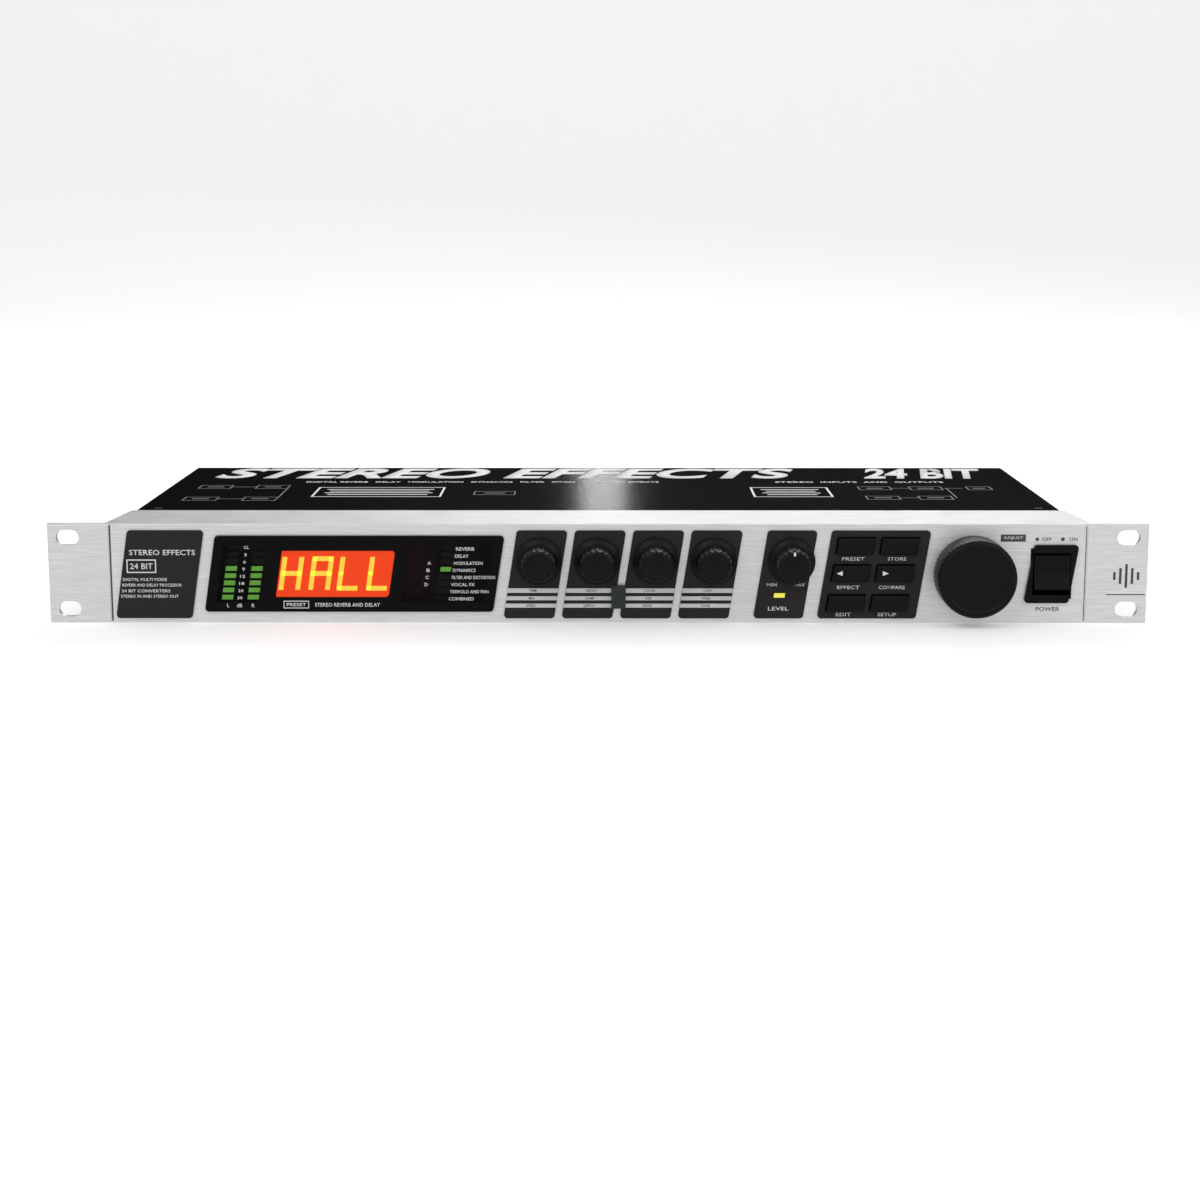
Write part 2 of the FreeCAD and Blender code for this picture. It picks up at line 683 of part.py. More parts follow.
# ---------------------------------------------------------------- case
def make_chassis_tray():
    """A folded steel tray: floor, two sides and the rear panel with its cutouts."""
    body = new_body("chassis_tray")
    front = "front_face + panel_thick"
    lip_end = "front_face + hood_depth"
    fold = "cover_lip_bottom - 1.9"
    outer = new_sketch(body, "TrayOutside", "YZ_Plane")
    outline(outer, [("rear_face", 0), (lip_end, 0), (lip_end, "hood_thick"),
                    (front, "hood_thick"), (front, "unit_height - hood_thick - 0.1"),
                    ("rear_face - sheet_thick", "unit_height - hood_thick - 0.1"),
                    ("rear_face - sheet_thick", fold), ("rear_face", fold)])
    pad(body, "TrayBlock", outer, "2 * (chassis_half - sheet_thick)", midplane=True)
    inner = new_sketch(body, "TrayInside", "YZ_Plane")
    step = f"{lip_end} + sheet_thick"
    outline(inner, [("rear_face - sheet_thick", "sheet_thick"), (step, "sheet_thick"),
                    (step, "hood_thick + sheet_thick"), (f"{front} - 5", "hood_thick + sheet_thick"),
                    (f"{front} - 5", "unit_height + 5"), ("rear_face - 2 * sheet_thick", "unit_height + 5"),
                    ("rear_face - 2 * sheet_thick", f"{fold} - sheet_thick"),
                    ("rear_face - sheet_thick", f"{fold} - sheet_thick")])
    pocket(body, "TrayHollow", inner, "2 * (chassis_half - 2 * sheet_thick)", midplane=True)

    openings = new_sketch(body, "RearOpenings", "XZ_Plane", "-(rear_face - 5)")
    rectangle(openings, "inlet_x - inlet_body_width / 2 - 0.1", 2.9, "inlet_body_width + 0.2", 28.2)
    for x in DIN_XS:
        circle(openings, x, "connector_z", 7.0)
    for x in XLR_OUT_XS:
        circle(openings, x, "connector_z", "xlr_out_radius + 0.6")
    for x in XLR_IN_XS:
        circle(openings, x, "connector_z", "xlr_in_radius + 0.2")
    for x in JACK_XS:
        circle(openings, x, "jack_z", "jack_bush + 0.15")
    for x in LEVEL_SWITCH_XS:
        rectangle(openings, f"{x} - 4.7", "level_switch_z - 3.25", 9.4, 6.5)
    for x in LIP_SCREW_XS:
        circle(openings, x, LIP_SCREW_Z, 1.6)
    for x, z in rear_screw_places():
        circle(openings, x, z, 1.3)
    pocket(body, "RearCutouts", openings)

    holes = new_sketch(body, "SideHoles", "YZ_Plane")
    circle(holes, "bracket_screw_y", "mid_height", 2.0)
    pocket(body, "SideScrewHoles", holes, "2 * chassis_half + 10", midplane=True)


def make_top_cover():
    """A folded cover: top, two sides and a lip over the top of the rear panel."""
    body = new_body("top_cover")
    inner = "(chassis_half - sheet_thick)"
    roof = "unit_height - sheet_thick"
    section = new_sketch(body, "CoverSection", "XZ_Plane", "-rear_face")
    outline(section, [("-chassis_half", 0.6), (f"-{inner}", 0.6), (f"-{inner}", roof), (inner, roof),
                      (inner, 0.6), ("chassis_half", 0.6), ("chassis_half", "unit_height"),
                      ("-chassis_half", "unit_height")])
    folded = pad(body, "CoverFolded", section, "rear_face - front_face - hood_depth - 0.1")
    top = SIZES["unit_height"]
    half = SIZES["chassis_half"]
    soften(body, "CoverBends", "Fillet", folded, 1.0,
           lambda p: abs(p.z - top) < 0.01 and abs(abs(p.x) - half) < 0.01)
    lip = new_sketch(body, "CoverLip", "XZ_Plane", "-rear_face")
    rectangle(lip, f"-{inner}", "cover_lip_bottom", f"2 * {inner}", f"{roof} - cover_lip_bottom + 0.2")
    pad(body, "CoverLipPad", lip, "cover_lip_thick")
    holes = new_sketch(body, "CoverLipHoles", "XZ_Plane", "-(rear_face - 5)")
    for x in LIP_SCREW_XS:
        circle(holes, x, LIP_SCREW_Z, 1.6)
    pocket(body, "LipHoles", holes)
    top_holes = new_sketch(body, "CoverTopHoles", "XY_Plane", "unit_height + 1")
    for side in SIDES:
        circle(top_holes, side * TOP_SCREW_X, TOP_SCREW_Y, 2.7)
    pocket(body, "TopHoles", top_holes, 5)


def screw(name, x, y, z, head_radius, head_height, shank_radius, shank_length, facing):
    """A pan-head screw whose head stands on the point, facing an axis direction."""
    axis, way = facing
    head_start = {"X": x, "Y": y, "Z": z}
    shank_start = dict(head_start)
    if way > 0:
        shank_start[axis] = f"{head_start[axis]} - {shank_length}"
    else:
        head_start[axis] = f"{head_start[axis]} - {head_height}"
    head = rod(name + "Head", head_radius, head_height, *head_start.values(), axis)
    shank = rod(name + "Shank", shank_radius, shank_length, *shank_start.values(), axis)
    return join(name, [head, shank])


def rear_screw_places():
    """Screws that hold the connectors to the rear panel, as x and z."""
    places = [(153.5, 9.8), (84.0, 9.8), (76.1, 28.4), (-26.1, 28.4)]
    for x in XLR_OUT_XS:
        places += [(f"{x} + {10 * side}", f"connector_z + {10 * side}") for side in SIDES]
    for x in XLR_IN_XS:
        places += [(f"{x} + {9.8 * side}", f"connector_z + {11.4 * side}") for side in SIDES]
    return places


def make_screws():
    screws = []
    for x in LIP_SCREW_XS:
        screws.append(screw("LipScrew", x, "rear_face", LIP_SCREW_Z, 3.0, 1.5, 1.5, 4, ("Y", 1)))
    for side in SIDES:
        screws.append(screw("SideScrew", f"{side} * (chassis_half - sheet_thick + bracket_thick)",
                            "bracket_screw_y", "mid_height", 4.2, 2.2, 1.9, 5, ("X", side)))
        screws.append(screw("TopScrew", side * TOP_SCREW_X, TOP_SCREW_Y, "unit_height - 1.1",
                            2.6, 1.1, 1.5, 6, ("Z", 1)))
    node(group("CaseScrews", screws), "case_screws")

    screws = []
    for x, z in rear_screw_places():
        screws.append(screw("RearScrew", x, "rear_face", z, 2.3, 1.3, 1.2, "sheet_thick", ("Y", 1)))
    for side in SIDES:
        screws.append(rod("InletScrew", 2.2, 1.1, f"inlet_x + {18 * side}", "inlet_face - 1.2", 17.2))
    node(group("ConnectorScrews", screws), "connector_screws")


# ---------------------------------------------------------------- mains inlet
# each pin as x from the middle of the inlet, low z and height
PIN_PLACES = ((-6.9, 11.2, 4.8), (6.7, 11.2, 4.8), (0.1, 7.2, 4.7))


def make_inlet():
    """Eight-sided flange and body, with the socket below and the fuse drawer above."""
    body = new_body("iec_inlet")
    half = "inlet_flange_width / 2"
    low, high = "inlet_flange_low", "inlet_flange_high"
    flange = new_sketch(body, "InletFlange", "XZ_Plane", "-rear_face")
    outline(flange, [("-14", low), ("14", low), (half, f"{low} + 9"), (half, f"{high} - 9"),
                     ("14", high), ("-14", high), (f"-{half}", f"{high} - 9"), (f"-{half}", f"{low} + 9")])
    pad(body, "InletFlangePad", flange, "inlet_face - rear_face", reverse=True)
    case = new_sketch(body, "InletCase", "XZ_Plane", "-(rear_face + 1)")
    rectangle(case, "-inlet_body_width / 2", 3, "inlet_body_width", 28)
    pad(body, "InletCasePad", case, "rear_face + 1 - inlet_body_back")

    opening = new_sketch(body, "InletSocket", "XZ_Plane", "-(inlet_face - socket_depth)")
    side = "socket_width / 2"
    top = "socket_low + socket_height"
    outline(opening, [(f"4 - {side}", "socket_low"), (f"{side} - 4", "socket_low"),
                      (side, "socket_low + 4"), (side, top), (f"-{side}", top),
                      (f"-{side}", "socket_low + 4")])
    pocket(body, "InletSocketPocket", opening, "socket_depth + 1")
    bay = new_sketch(body, "DrawerBay", "XZ_Plane", "-(inlet_face - drawer_depth - 1.5)")
    rectangle(bay, "-drawer_width / 2 - 0.3", "drawer_low - 0.3", "drawer_width + 0.6",
              "drawer_height + 0.6")
    pocket(body, "DrawerBayPocket", bay, "drawer_depth + 3")
    heads = new_sketch(body, "InletScrewHoles", "XZ_Plane", "-(inlet_face - 1.2)")
    for way in SIDES:
        circle(heads, 18 * way, 17.2, 2.3)
    pocket(body, "InletScrewPockets", heads, 3)
    slots = new_sketch(body, "PinSlots", "XZ_Plane", "-(inlet_body_back - 1)")
    for x, z, height in PIN_PLACES:
        rectangle(slots, f"{x} - 1", z, 2, height)
    pocket(body, "PinSlotPockets", slots, "inlet_face - socket_depth - inlet_body_back + 2")
    bind(body, Placement__Base__x="inlet_x")

    pins = [block("InletPin", f"inlet_x + {x} - 1", "inlet_body_back - 5", z, 2,
                  "inlet_face - socket_depth - inlet_body_back + 17", height)
            for x, z, height in PIN_PLACES]
    node(group("InletPins", pins), "iec_pins")


def make_fuse_drawer():
    """The drawer above the socket, open at the top for its glass fuse."""
    solid = block("DrawerSolid", "inlet_x - drawer_width / 2", "inlet_face - drawer_depth - 0.5",
                  "drawer_low", "drawer_width", "drawer_depth", "drawer_height")
    trough = block("DrawerTrough", "inlet_x - 10.3", "inlet_face - drawer_depth + 2",
                   "drawer_low + 1.2", 20.6, 5.6, "drawer_height")
    node(cut("Drawer", solid, trough), "fuse_drawer")
    node(rod("Fuse", 2.55, 20, "inlet_x - 10", "inlet_face - drawer_depth + 4.8",
             "drawer_low + 1.25 + 2.55", "X"), "fuse")


# ---------------------------------------------------------------- audio connectors
XLR_PIN_PLACES = ((-4.0, 0.0), (4.0, 0.0), (0.0, -3.7))
XLR_NECK_END = "rear_face + 0.8"
INNER_WALL = "rear_face - sheet_thick"


def make_xlr_outputs():
    """Flush round sockets with three pins each."""
    sockets = []
    pins = []
    for x in XLR_OUT_XS:
        case = block("XlrOutCase", f"{x} - 11", f"{INNER_WALL} - 19", "connector_z - 12", 22, 19, 24)
        neck = rod("XlrOutNeck", "xlr_out_radius + 0.45", "sheet_thick + 0.8", x, INNER_WALL,
                   "connector_z")
        recess = rod("XlrOutRecess", "xlr_out_radius", 16, x, f"{XLR_NECK_END} - 15", "connector_z")
        sockets.append(cut("XlrOut", join("XlrOutBlank", [case, neck]), recess))
        for dx, dz in XLR_PIN_PLACES:
            pins.append(rod("XlrPin", 1.2, 12.5, f"{x} + {dx}", f"{XLR_NECK_END} - 15",
                            f"connector_z + {dz}"))
    node(group("XlrOutputs", sockets), "xlr_output_sockets")
    node(group("XlrOutputPins", pins), "xlr_output_pins")


def make_xlr_inputs():
    """Round sockets with a ring-shaped gap round an insert that has three holes."""
    sockets = []
    for x in XLR_IN_XS:
        case = block("XlrInCase", f"{x} - 11.5", f"{INNER_WALL} - 19", "connector_z - 12", 23, 19, 24)
        neck = rod("XlrInNeck", "xlr_in_radius", "sheet_thick + 0.8", x, INNER_WALL, "connector_z")
        gap = rod("XlrInGap", "xlr_in_radius - 0.9", 13, x, f"{XLR_NECK_END} - 12", "connector_z")
        insert = rod("XlrInsert", "xlr_insert_radius", 12, x, f"{XLR_NECK_END} - 12.2", "connector_z")
        holes = [rod("XlrHole", 1.4, 12, f"{x} + {dx}", f"{XLR_NECK_END} - 10", f"connector_z + {dz}")
                 for dx, dz in XLR_PIN_PLACES]
        hollow = cut("XlrInHollow", join("XlrInBlank", [case, neck]), gap)
        sockets.append(cut("XlrIn", join("XlrInFilled", [hollow, insert]),
                           group("XlrInHoles", holes)))
    node(group("XlrInputs", sockets), "xlr_input_sockets")


def make_din_sockets():
    """Five-hole sockets: a ring-shaped gap for the plug's sleeve, and the holes."""
    sockets = []
    for x in DIN_XS:
        case = block("DinCase", f"{x} - 9.75", f"{INNER_WALL} - 14", "connector_z - 9.75", 19.5, 14, 19.5)
        neck = rod("DinNeck", 6.85, "sheet_thick + 0.8", x, INNER_WALL, "connector_z")
        outer = rod("DinGapOutside", 6.2, 9, x, f"{XLR_NECK_END} - 8", "connector_z")
        insert = rod("DinGapInside", 5.2, 9, x, f"{XLR_NECK_END} - 8", "connector_z")
        gap = cut("DinGap", outer, insert)
        holes = [rod("DinHole", 0.8, 9, f"{x} + {3.6 * math.cos(math.radians(a)):.3f}",
                     f"{XLR_NECK_END} - 8", f"connector_z + {3.6 * math.sin(math.radians(a)):.3f}")
                 for a in range(180, 361, 45)]
        blank = cut("DinBlank", join("DinSolid", [case, neck]), gap)
        sockets.append(cut("Din", blank, group("DinHoles", holes)))
    node(group("DinSockets", sockets), "din_sockets")


def make_jacks():
    """Threaded jack sockets through the rear panel, each with its ring nut."""
    sockets = []
    nuts = []
    for x in JACK_XS:
        case = block("JackCase", f"{x} - 7.25", f"{INNER_WALL} - 20", "jack_z - 7", 14.5, 20, 14)
        bush = rod("JackBush", "jack_bush", f"jack_end - ({INNER_WALL})", x, INNER_WALL, "jack_z")
        bore = rod("JackBore", "jack_bore", 21, x, "jack_end - 20", "jack_z")
        sockets.append(cut("Jack", join("JackBlank", [case, bush]), bore))
        ring = rod("NutRing", "jack_nut", 1.6, x, "rear_face", "jack_z")
        inside = rod("NutInside", "jack_bush + 0.05", 3, x, "rear_face - 1", "jack_z")
        nuts.append(cut("Nut", ring, inside))
    node(group("Jacks", sockets), "jack_sockets")
    node(group("JackNuts", nuts), "jack_nuts")


def make_level_switches():
    """Push switches beside the jacks: one body node, and a button node each."""
    bodies = []
    for number, x in enumerate(LEVEL_SWITCH_XS, start=1):
        case = block("PushCase", f"{x} - 6", f"{INNER_WALL} - 17", "level_switch_z - 4.5", 12, 17, 9)
        bay = block("PushBay", f"{x} - 4.4", f"{INNER_WALL} - 15.5", "level_switch_z - 2.5",
                    8.8, 17, 5)
        bodies.append(cut("PushSwitch", case, bay))
        button = block("PushButton", f"{x} - 4", f"{INNER_WALL} - 11.8", "level_switch_z - 2.1",
                       8, 15, 4.2)
        node(button, f"level_button_{number}")
    node(group("PushSwitches", bodies), "level_switch_bodies")


# ---------------------------------------------------------------- inside the case
SUPPLY_WIDTH = "supply_board_right - supply_board_left"
SUPPLY_LENGTH = "supply_board_back - supply_board_front"
BOARD_TOP = "main_board_z + board_thick"
SUPPLY_CORNERS = [(x, y) for x in ("supply_board_left + 5", "supply_board_right - 5")
                  for y in ("supply_board_front + 5", "supply_board_back - 5")]
MAIN_CORNERS = [(x, y) for x in (-200, -60, 84) for y in ("main_board_front + 5", "main_board_back - 5")]


def make_boards():
    main = block("MainBoardWide", -206, "main_board_front", "main_board_z", 296,
                 "main_board_back - main_board_front", "board_thick")
    tail = block("MainBoardTail", 90, 64, "main_board_z", 60, "main_board_back - 64", "board_thick")
    node(join("MainBoard", [main, tail]), "main_board")
    node(block("SupplyBoard", "supply_board_left", "supply_board_front", "main_board_z",
               SUPPLY_WIDTH, SUPPLY_LENGTH, "board_thick"), "power_supply_board")
    posts = []
    heads = []
    for x, y in SUPPLY_CORNERS + MAIN_CORNERS:
        posts.append(rod("Post", 2.5, "main_board_z - sheet_thick", x, y, "sheet_thick", "Z"))
        heads.append(rod("BoardScrew", 2.6, 1.6, x, y, BOARD_TOP, "Z"))
    node(group("Posts", posts), "board_standoffs")
    node(group("BoardScrews", heads), "board_screws")


def make_main_parts():
    """Chips and small capacitors on the main board."""
    sizes = ((-150, 46, 24, 24, 2.8), (-110, 50, 16, 8, 2.4), (-110, 64, 16, 8, 2.4),
             (-30, 46, 14, 14, 2.2), (0, 52, 10, 6, 2.2), (20, 52, 10, 6, 2.2), (-180, 68, 10, 6, 2.2))
    chips = [block("Chip", x, y, BOARD_TOP, dx, dy, dz) for x, y, dx, dy, dz in sizes]
    node(group("Chips", chips), "board_chips")
    small = [(-186, 44), (-172, 44), (-60, 48), (-46, 48), (-60, 62), (44, 70), (58, 70), (72, 70)]
    cans = [rod("Can", 3.2, 11, x, y, BOARD_TOP, "Z") for x, y in small]
    cans += [rod("SupplyCan", 8, 25, "supply_board_left + 16", f"supply_board_back - {16 + 20 * i}",
                 BOARD_TOP, "Z") for i in range(2)]
    cans.append(rod("MainsCan", 10, 30, "supply_board_right - 18", "supply_board_back - 30",
                    BOARD_TOP, "Z"))
    node(group("Cans", cans), "board_capacitors")


def make_supply_parts():
    """Transformer, and a finned heat sink at the left edge of the supply board."""
    core = block("Core", 146, -32, BOARD_TOP, 34, 36, 27)
    winding = block("Winding", 141, -26, f"{BOARD_TOP} + 4", 44, 24, 19)
    node(join("Transformer", [core, winding]), "transformer")
    base = block("SinkBase", 104, -36, BOARD_TOP, 3, 44, 26)
    fins = [block("SinkFin", 107, -36 + 7 * i, BOARD_TOP, 12, 2, 26) for i in range(7)]
    node(join("HeatSink", [base] + fins), "heat_sink")


def wire_path(points, bend):
    """Straight runs joined by tangent arcs."""
    edges = []
    start = points[0]
    for before, corner, after in zip(points, points[1:], points[2:]):
        into = (corner - before).normalize()
        out = (after - corner).normalize()
        angle = into.getAngle(out)
        reach = bend * math.tan(angle / 2)
        first = corner - into * reach
        last = corner + out * reach
        middle_way = (out - into).normalize()
        middle = corner + middle_way * (bend / math.cos(angle / 2) - bend)
        edges.append(Part.LineSegment(start, first).toShape())
        edges.append(Part.Arc(first, middle, last).toShape())
        start = last
    edges.append(Part.LineSegment(start, points[-1]).toShape())
    return Part.Wire(edges)


def make_leads():
    """Two insulated leads from the inlet to the power switch, and the flat cable."""
    radius = 1.1
    leads = []
    for side in SIDES:
        tab = Vector(SIZES["switch_x"] + 4 * side, SIZES["front_face"] + 27.5, SIZES["mid_height"])
        pin = Vector(SIZES["inlet_x"] + 6.8 * side, SIZES["inlet_body_back"] - 5.5, 13.6)
        run_x = 202.5 + 1.9 * side
        points = [tab, tab + Vector(0, 12, 0), Vector(run_x, -30, 30), Vector(run_x, 50, 30),
                  pin + Vector(0, -9, 0), pin]
        path = wire_path(points, 6)
        way = points[1] - points[0]
        ring = Part.Wire(Part.Circle(points[0], way, radius).toShape())
        leads.append(path.makePipeShell([ring], True, False))
    wires = doc.addObject("Part::Feature", "MainsWires")
    wires.Shape = Part.makeCompound(leads)
    wires.Placement = Placement()
    node(wires, "mains_wires")

    body = new_body("ribbon_cable")
    strip = new_sketch(body, "RibbonSide", "YZ_Plane")
    start = "board_front + board_thick"
    outline(strip, [(start, 16), (f"{start} + 14", 16), (f"{start} + 22", 9), (20, 9), (31, 9),
                    (31, BOARD_TOP), (40, BOARD_TOP), (40, 10.5), (20, 10.5),
                    (f"{start} + 23", 10.5), (f"{start} + 15", 17.5), (start, 17.5)])
    pad(body, "RibbonPad", strip, 26, midplane=True)
    place(body, 64, 0, 0)


# ---------------------------------------------------------------- assembly
def make_unit():
    make_front_panel()
    make_side_brackets()
    make_face_plates()
    make_display()
    make_rotary_bodies()
    for number, x in enumerate(EDIT_KNOB_XS, start=1):
        make_knob(f"edit_knob_{number}", x, "knob_z")
        make_shaft(f"edit_shaft_{number}", x, "knob_z")
    make_knob("level_knob", "level_knob_x", "knob_z")
    make_shaft("level_shaft", "level_knob_x", "knob_z")
    make_data_wheel()
    make_shaft("data_wheel_shaft", "wheel_x", "mid_height")
    for side, column in KEY_COLUMNS.items():
        for row, z in KEY_ROWS.items():
            make_key(f"{side}_{row}_key", column, z)
    make_key_switches()
    make_power_switch()
    make_chassis_tray()
    make_top_cover()
    make_screws()
    make_inlet()
    make_fuse_drawer()
    make_xlr_outputs()
    make_xlr_inputs()
    make_din_sockets()
    make_jacks()
    make_level_switches()
    make_boards()
    make_main_parts()
    make_supply_parts()
    make_leads()


def check_and_write():
    """Stop at any failed object; otherwise write one STEP file for each sub-part."""
    doc.recompute()
    for item in doc.Objects:
        if "Invalid" in item.State or "Error" in item.State:
            raise RuntimeError(f"{item.Name} failed: {item.State}")
    os.makedirs("parts", exist_ok=True)
    for item in NODES:
        shape = item.Shape
        if shape.isNull() or not shape.isValid() or not shape.Solids:
            raise RuntimeError(f"{item.Label} has no valid shape")
        shape.exportStep(f"parts/{item.Label}.step")
        print(f"{item.Label:24s} solids {len(shape.Solids):3d}  volume {shape.Volume:12.1f}")


make_unit()
check_and_write()
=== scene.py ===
import math

import bmesh
import bpy
from mathutils import Matrix, Vector


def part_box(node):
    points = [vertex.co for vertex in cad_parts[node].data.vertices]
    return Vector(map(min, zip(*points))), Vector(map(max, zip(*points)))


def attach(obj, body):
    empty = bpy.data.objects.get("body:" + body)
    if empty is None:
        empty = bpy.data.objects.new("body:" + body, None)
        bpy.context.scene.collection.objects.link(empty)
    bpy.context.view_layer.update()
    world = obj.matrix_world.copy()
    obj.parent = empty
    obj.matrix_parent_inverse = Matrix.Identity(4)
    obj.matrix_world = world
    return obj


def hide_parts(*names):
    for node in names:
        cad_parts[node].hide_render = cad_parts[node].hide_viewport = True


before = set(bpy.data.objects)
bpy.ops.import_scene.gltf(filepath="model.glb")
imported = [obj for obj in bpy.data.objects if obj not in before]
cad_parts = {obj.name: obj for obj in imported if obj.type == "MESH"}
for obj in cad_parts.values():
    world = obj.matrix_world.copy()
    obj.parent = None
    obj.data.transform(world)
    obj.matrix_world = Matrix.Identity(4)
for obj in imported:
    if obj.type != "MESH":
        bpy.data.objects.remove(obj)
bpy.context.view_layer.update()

MM = 0.001
scene = bpy.context.scene
scene.view_settings.view_transform = "Standard"

# ---- Studio
# A pale floor that sweeps up behind the unit, a white sky, and four soft lights.  A dark
# card low behind the unit is seen only by gloss; the smallest light puts a glow in the cover.
GRAIN_DETAIL = 4.0
GRAIN_LOW, GRAIN_HIGH = 0.3, 0.7
ROUGHNESS_LEAST = 0.02


def finish(name, colour, roughness, metallic=0.0, grain=900.0, stretch=(1, 1, 1), tint=0.06,
           uneven=0.05, bump=0.06, relief=0.02, shine=0.5):
    """A surface whose colour, gloss and relief all follow one fine grain.

    grain is how many lumps to a metre, relief is in millimetres, and tint and uneven are how
    far the colour and the roughness swing either way.
    """
    material = bpy.data.materials.new(name)
    material.use_nodes = True
    nodes, links = material.node_tree.nodes, material.node_tree.links
    shader = nodes["Principled BSDF"]
    place = nodes.new("ShaderNodeTexCoord")
    mapping = nodes.new("ShaderNodeMapping")
    mapping.inputs["Scale"].default_value = stretch
    noise = nodes.new("ShaderNodeTexNoise")
    noise.inputs["Scale"].default_value = grain
    noise.inputs["Detail"].default_value = GRAIN_DETAIL
    links.new(place.outputs["Object"], mapping.inputs["Vector"])
    links.new(mapping.outputs["Vector"], noise.inputs["Vector"])
    ramp = nodes.new("ShaderNodeValToRGB")
    for stop, side in zip(ramp.color_ramp.elements, (-1, 1)):
        stop.color = (*[min(1.0, c * (1 + side * tint)) for c in colour], 1)
    ramp.color_ramp.elements[0].position = GRAIN_LOW
    ramp.color_ramp.elements[1].position = GRAIN_HIGH
    links.new(noise.outputs["Fac"], ramp.inputs["Fac"])
    links.new(ramp.outputs["Color"], shader.inputs["Base Color"])
    gloss = nodes.new("ShaderNodeMapRange")
    gloss.inputs["From Min"].default_value = GRAIN_LOW
    gloss.inputs["From Max"].default_value = GRAIN_HIGH
    gloss.inputs["To Min"].default_value = max(ROUGHNESS_LEAST, roughness - uneven)
    gloss.inputs["To Max"].default_value = min(1.0, roughness + uneven)
    links.new(noise.outputs["Fac"], gloss.inputs["Value"])
    links.new(gloss.outputs["Result"], shader.inputs["Roughness"])
    raise_up = nodes.new("ShaderNodeBump")
    raise_up.inputs["Strength"].default_value = bump
    raise_up.inputs["Distance"].default_value = relief * MM
    links.new(noise.outputs["Fac"], raise_up.inputs["Height"])
    links.new(raise_up.outputs["Normal"], shader.inputs["Normal"])
    shader.inputs["Metallic"].default_value = metallic
    shader.inputs["Specular IOR Level"].default_value = shine
    return material


def keep(piece, body):
    """A finished piece rides on a body."""
    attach(piece, body)
    return piece


def new_piece(name, mesh, material=None):
    """An object at the origin that shows a mesh already in its place."""
    piece = bpy.data.objects.new(name, mesh)
    scene.collection.objects.link(piece)
    if material is not None:
        mesh.materials.clear()
        mesh.materials.append(material)
    return piece


def paint(material, *nodes):
    """Give a finish to CAD nodes, whose shapes stay."""
    for node in nodes:
        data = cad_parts[node].data
        data.materials.clear()
        data.materials.append(material)


# metres: the floor runs back from its front edge, bends up, and ends as a wall
FLOOR_FRONT, FLOOR_HALF = -3.0, 4.0
BACKDROP_BEND, BACKDROP_RADIUS, BACKDROP_HEIGHT = 2.0, 1.2, 3.5
BEND_STEPS, BEND_STEP = 16, 6
FLOOR_WHITE, FLOOR_GLOW = (0.90, 0.90, 0.90), 0.22
bend = [(BACKDROP_BEND + BACKDROP_RADIUS * math.sin(t), BACKDROP_RADIUS * (1 - math.cos(t)))
        for t in [math.radians(BEND_STEP * i) for i in range(BEND_STEPS)]]
sweep = [(FLOOR_FRONT, 0.0), *bend, (BACKDROP_BEND + BACKDROP_RADIUS, BACKDROP_HEIGHT)]
floor_mesh = bpy.data.meshes.new("floor")
floor_mesh.from_pydata([(x, y, z) for y, z in sweep for x in (-FLOOR_HALF, FLOOR_HALF)], [],
                       [(2 * i, 2 * i + 1, 2 * i + 3, 2 * i + 2) for i in range(len(sweep) - 1)])
for face in floor_mesh.polygons:
    face.use_smooth = True
floor_paper = finish("floor_paper", FLOOR_WHITE, 0.9, grain=60, tint=0.004)
floor_shader = floor_paper.node_tree.nodes["Principled BSDF"]
floor_shader.inputs["Emission Color"].default_value = (1, 1, 1, 1)
floor_shader.inputs["Emission Strength"].default_value = FLOOR_GLOW
floor = new_piece("floor", floor_mesh, floor_paper)
floor.visible_glossy = False

# The card fades in over each edge, given as heights and depths of the direction looked in.
SKY_STRENGTH, CARD_STRENGTH = 0.62, 0.01
CARD_TOP, CARD_TOP_FADE = 0.6, 0.2
CARD_FOOT, CARD_FOOT_FULL = -0.05, 0.02
CARD_FULL_BEHIND = 0.3
world = bpy.data.worlds.new("studio")
scene.world = world
world.use_nodes = True
sky = world.node_tree.nodes["Background"]
sky.inputs["Color"].default_value = (1, 1, 1, 1)
world_nodes, world_links = world.node_tree.nodes, world.node_tree.links
where = world_nodes.new("ShaderNodeSeparateXYZ")
world_links.new(world_nodes.new("ShaderNodeTexCoord").outputs["Generated"], where.inputs["Vector"])
factors = []
for axis, none, full in (("Y", 0.0, CARD_FULL_BEHIND), ("Z", CARD_TOP, CARD_TOP - CARD_TOP_FADE),
                         ("Z", CARD_FOOT, CARD_FOOT_FULL)):
    edge = world_nodes.new("ShaderNodeMapRange")
    edge.inputs["From Min"].default_value = none
    edge.inputs["From Max"].default_value = full
    world_links.new(where.outputs[axis], edge.inputs["Value"])
    factors.append(edge.outputs["Result"])
factors.append(world_nodes.new("ShaderNodeLightPath").outputs["Is Glossy Ray"])
card = factors[0]
for factor in factors[1:]:
    both = world_nodes.new("ShaderNodeMath")
    both.operation = "MULTIPLY"
    world_links.new(card, both.inputs[0])
    world_links.new(factor, both.inputs[1])
    card = both.outputs["Value"]
level = world_nodes.new("ShaderNodeMapRange")
level.inputs["To Min"].default_value = SKY_STRENGTH
level.inputs["To Max"].default_value = CARD_STRENGTH
world_links.new(card, level.inputs["Value"])
world_links.new(level.outputs["Result"], sky.inputs["Strength"])


def soft_light(name, place, target, width, height, power):
    """A rectangular light in metres and watts, turned to its target."""
    data = bpy.data.lights.new(name, "AREA")
    data.shape = "RECTANGLE"
    data.size, data.size_y, data.energy = width, height, power
    light = bpy.data.objects.new(name, data)
    light.location = place
    light.rotation_euler = (Vector(target) - Vector(place)).to_track_quat("-Z", "Y").to_euler()
    scene.collection.objects.link(light)


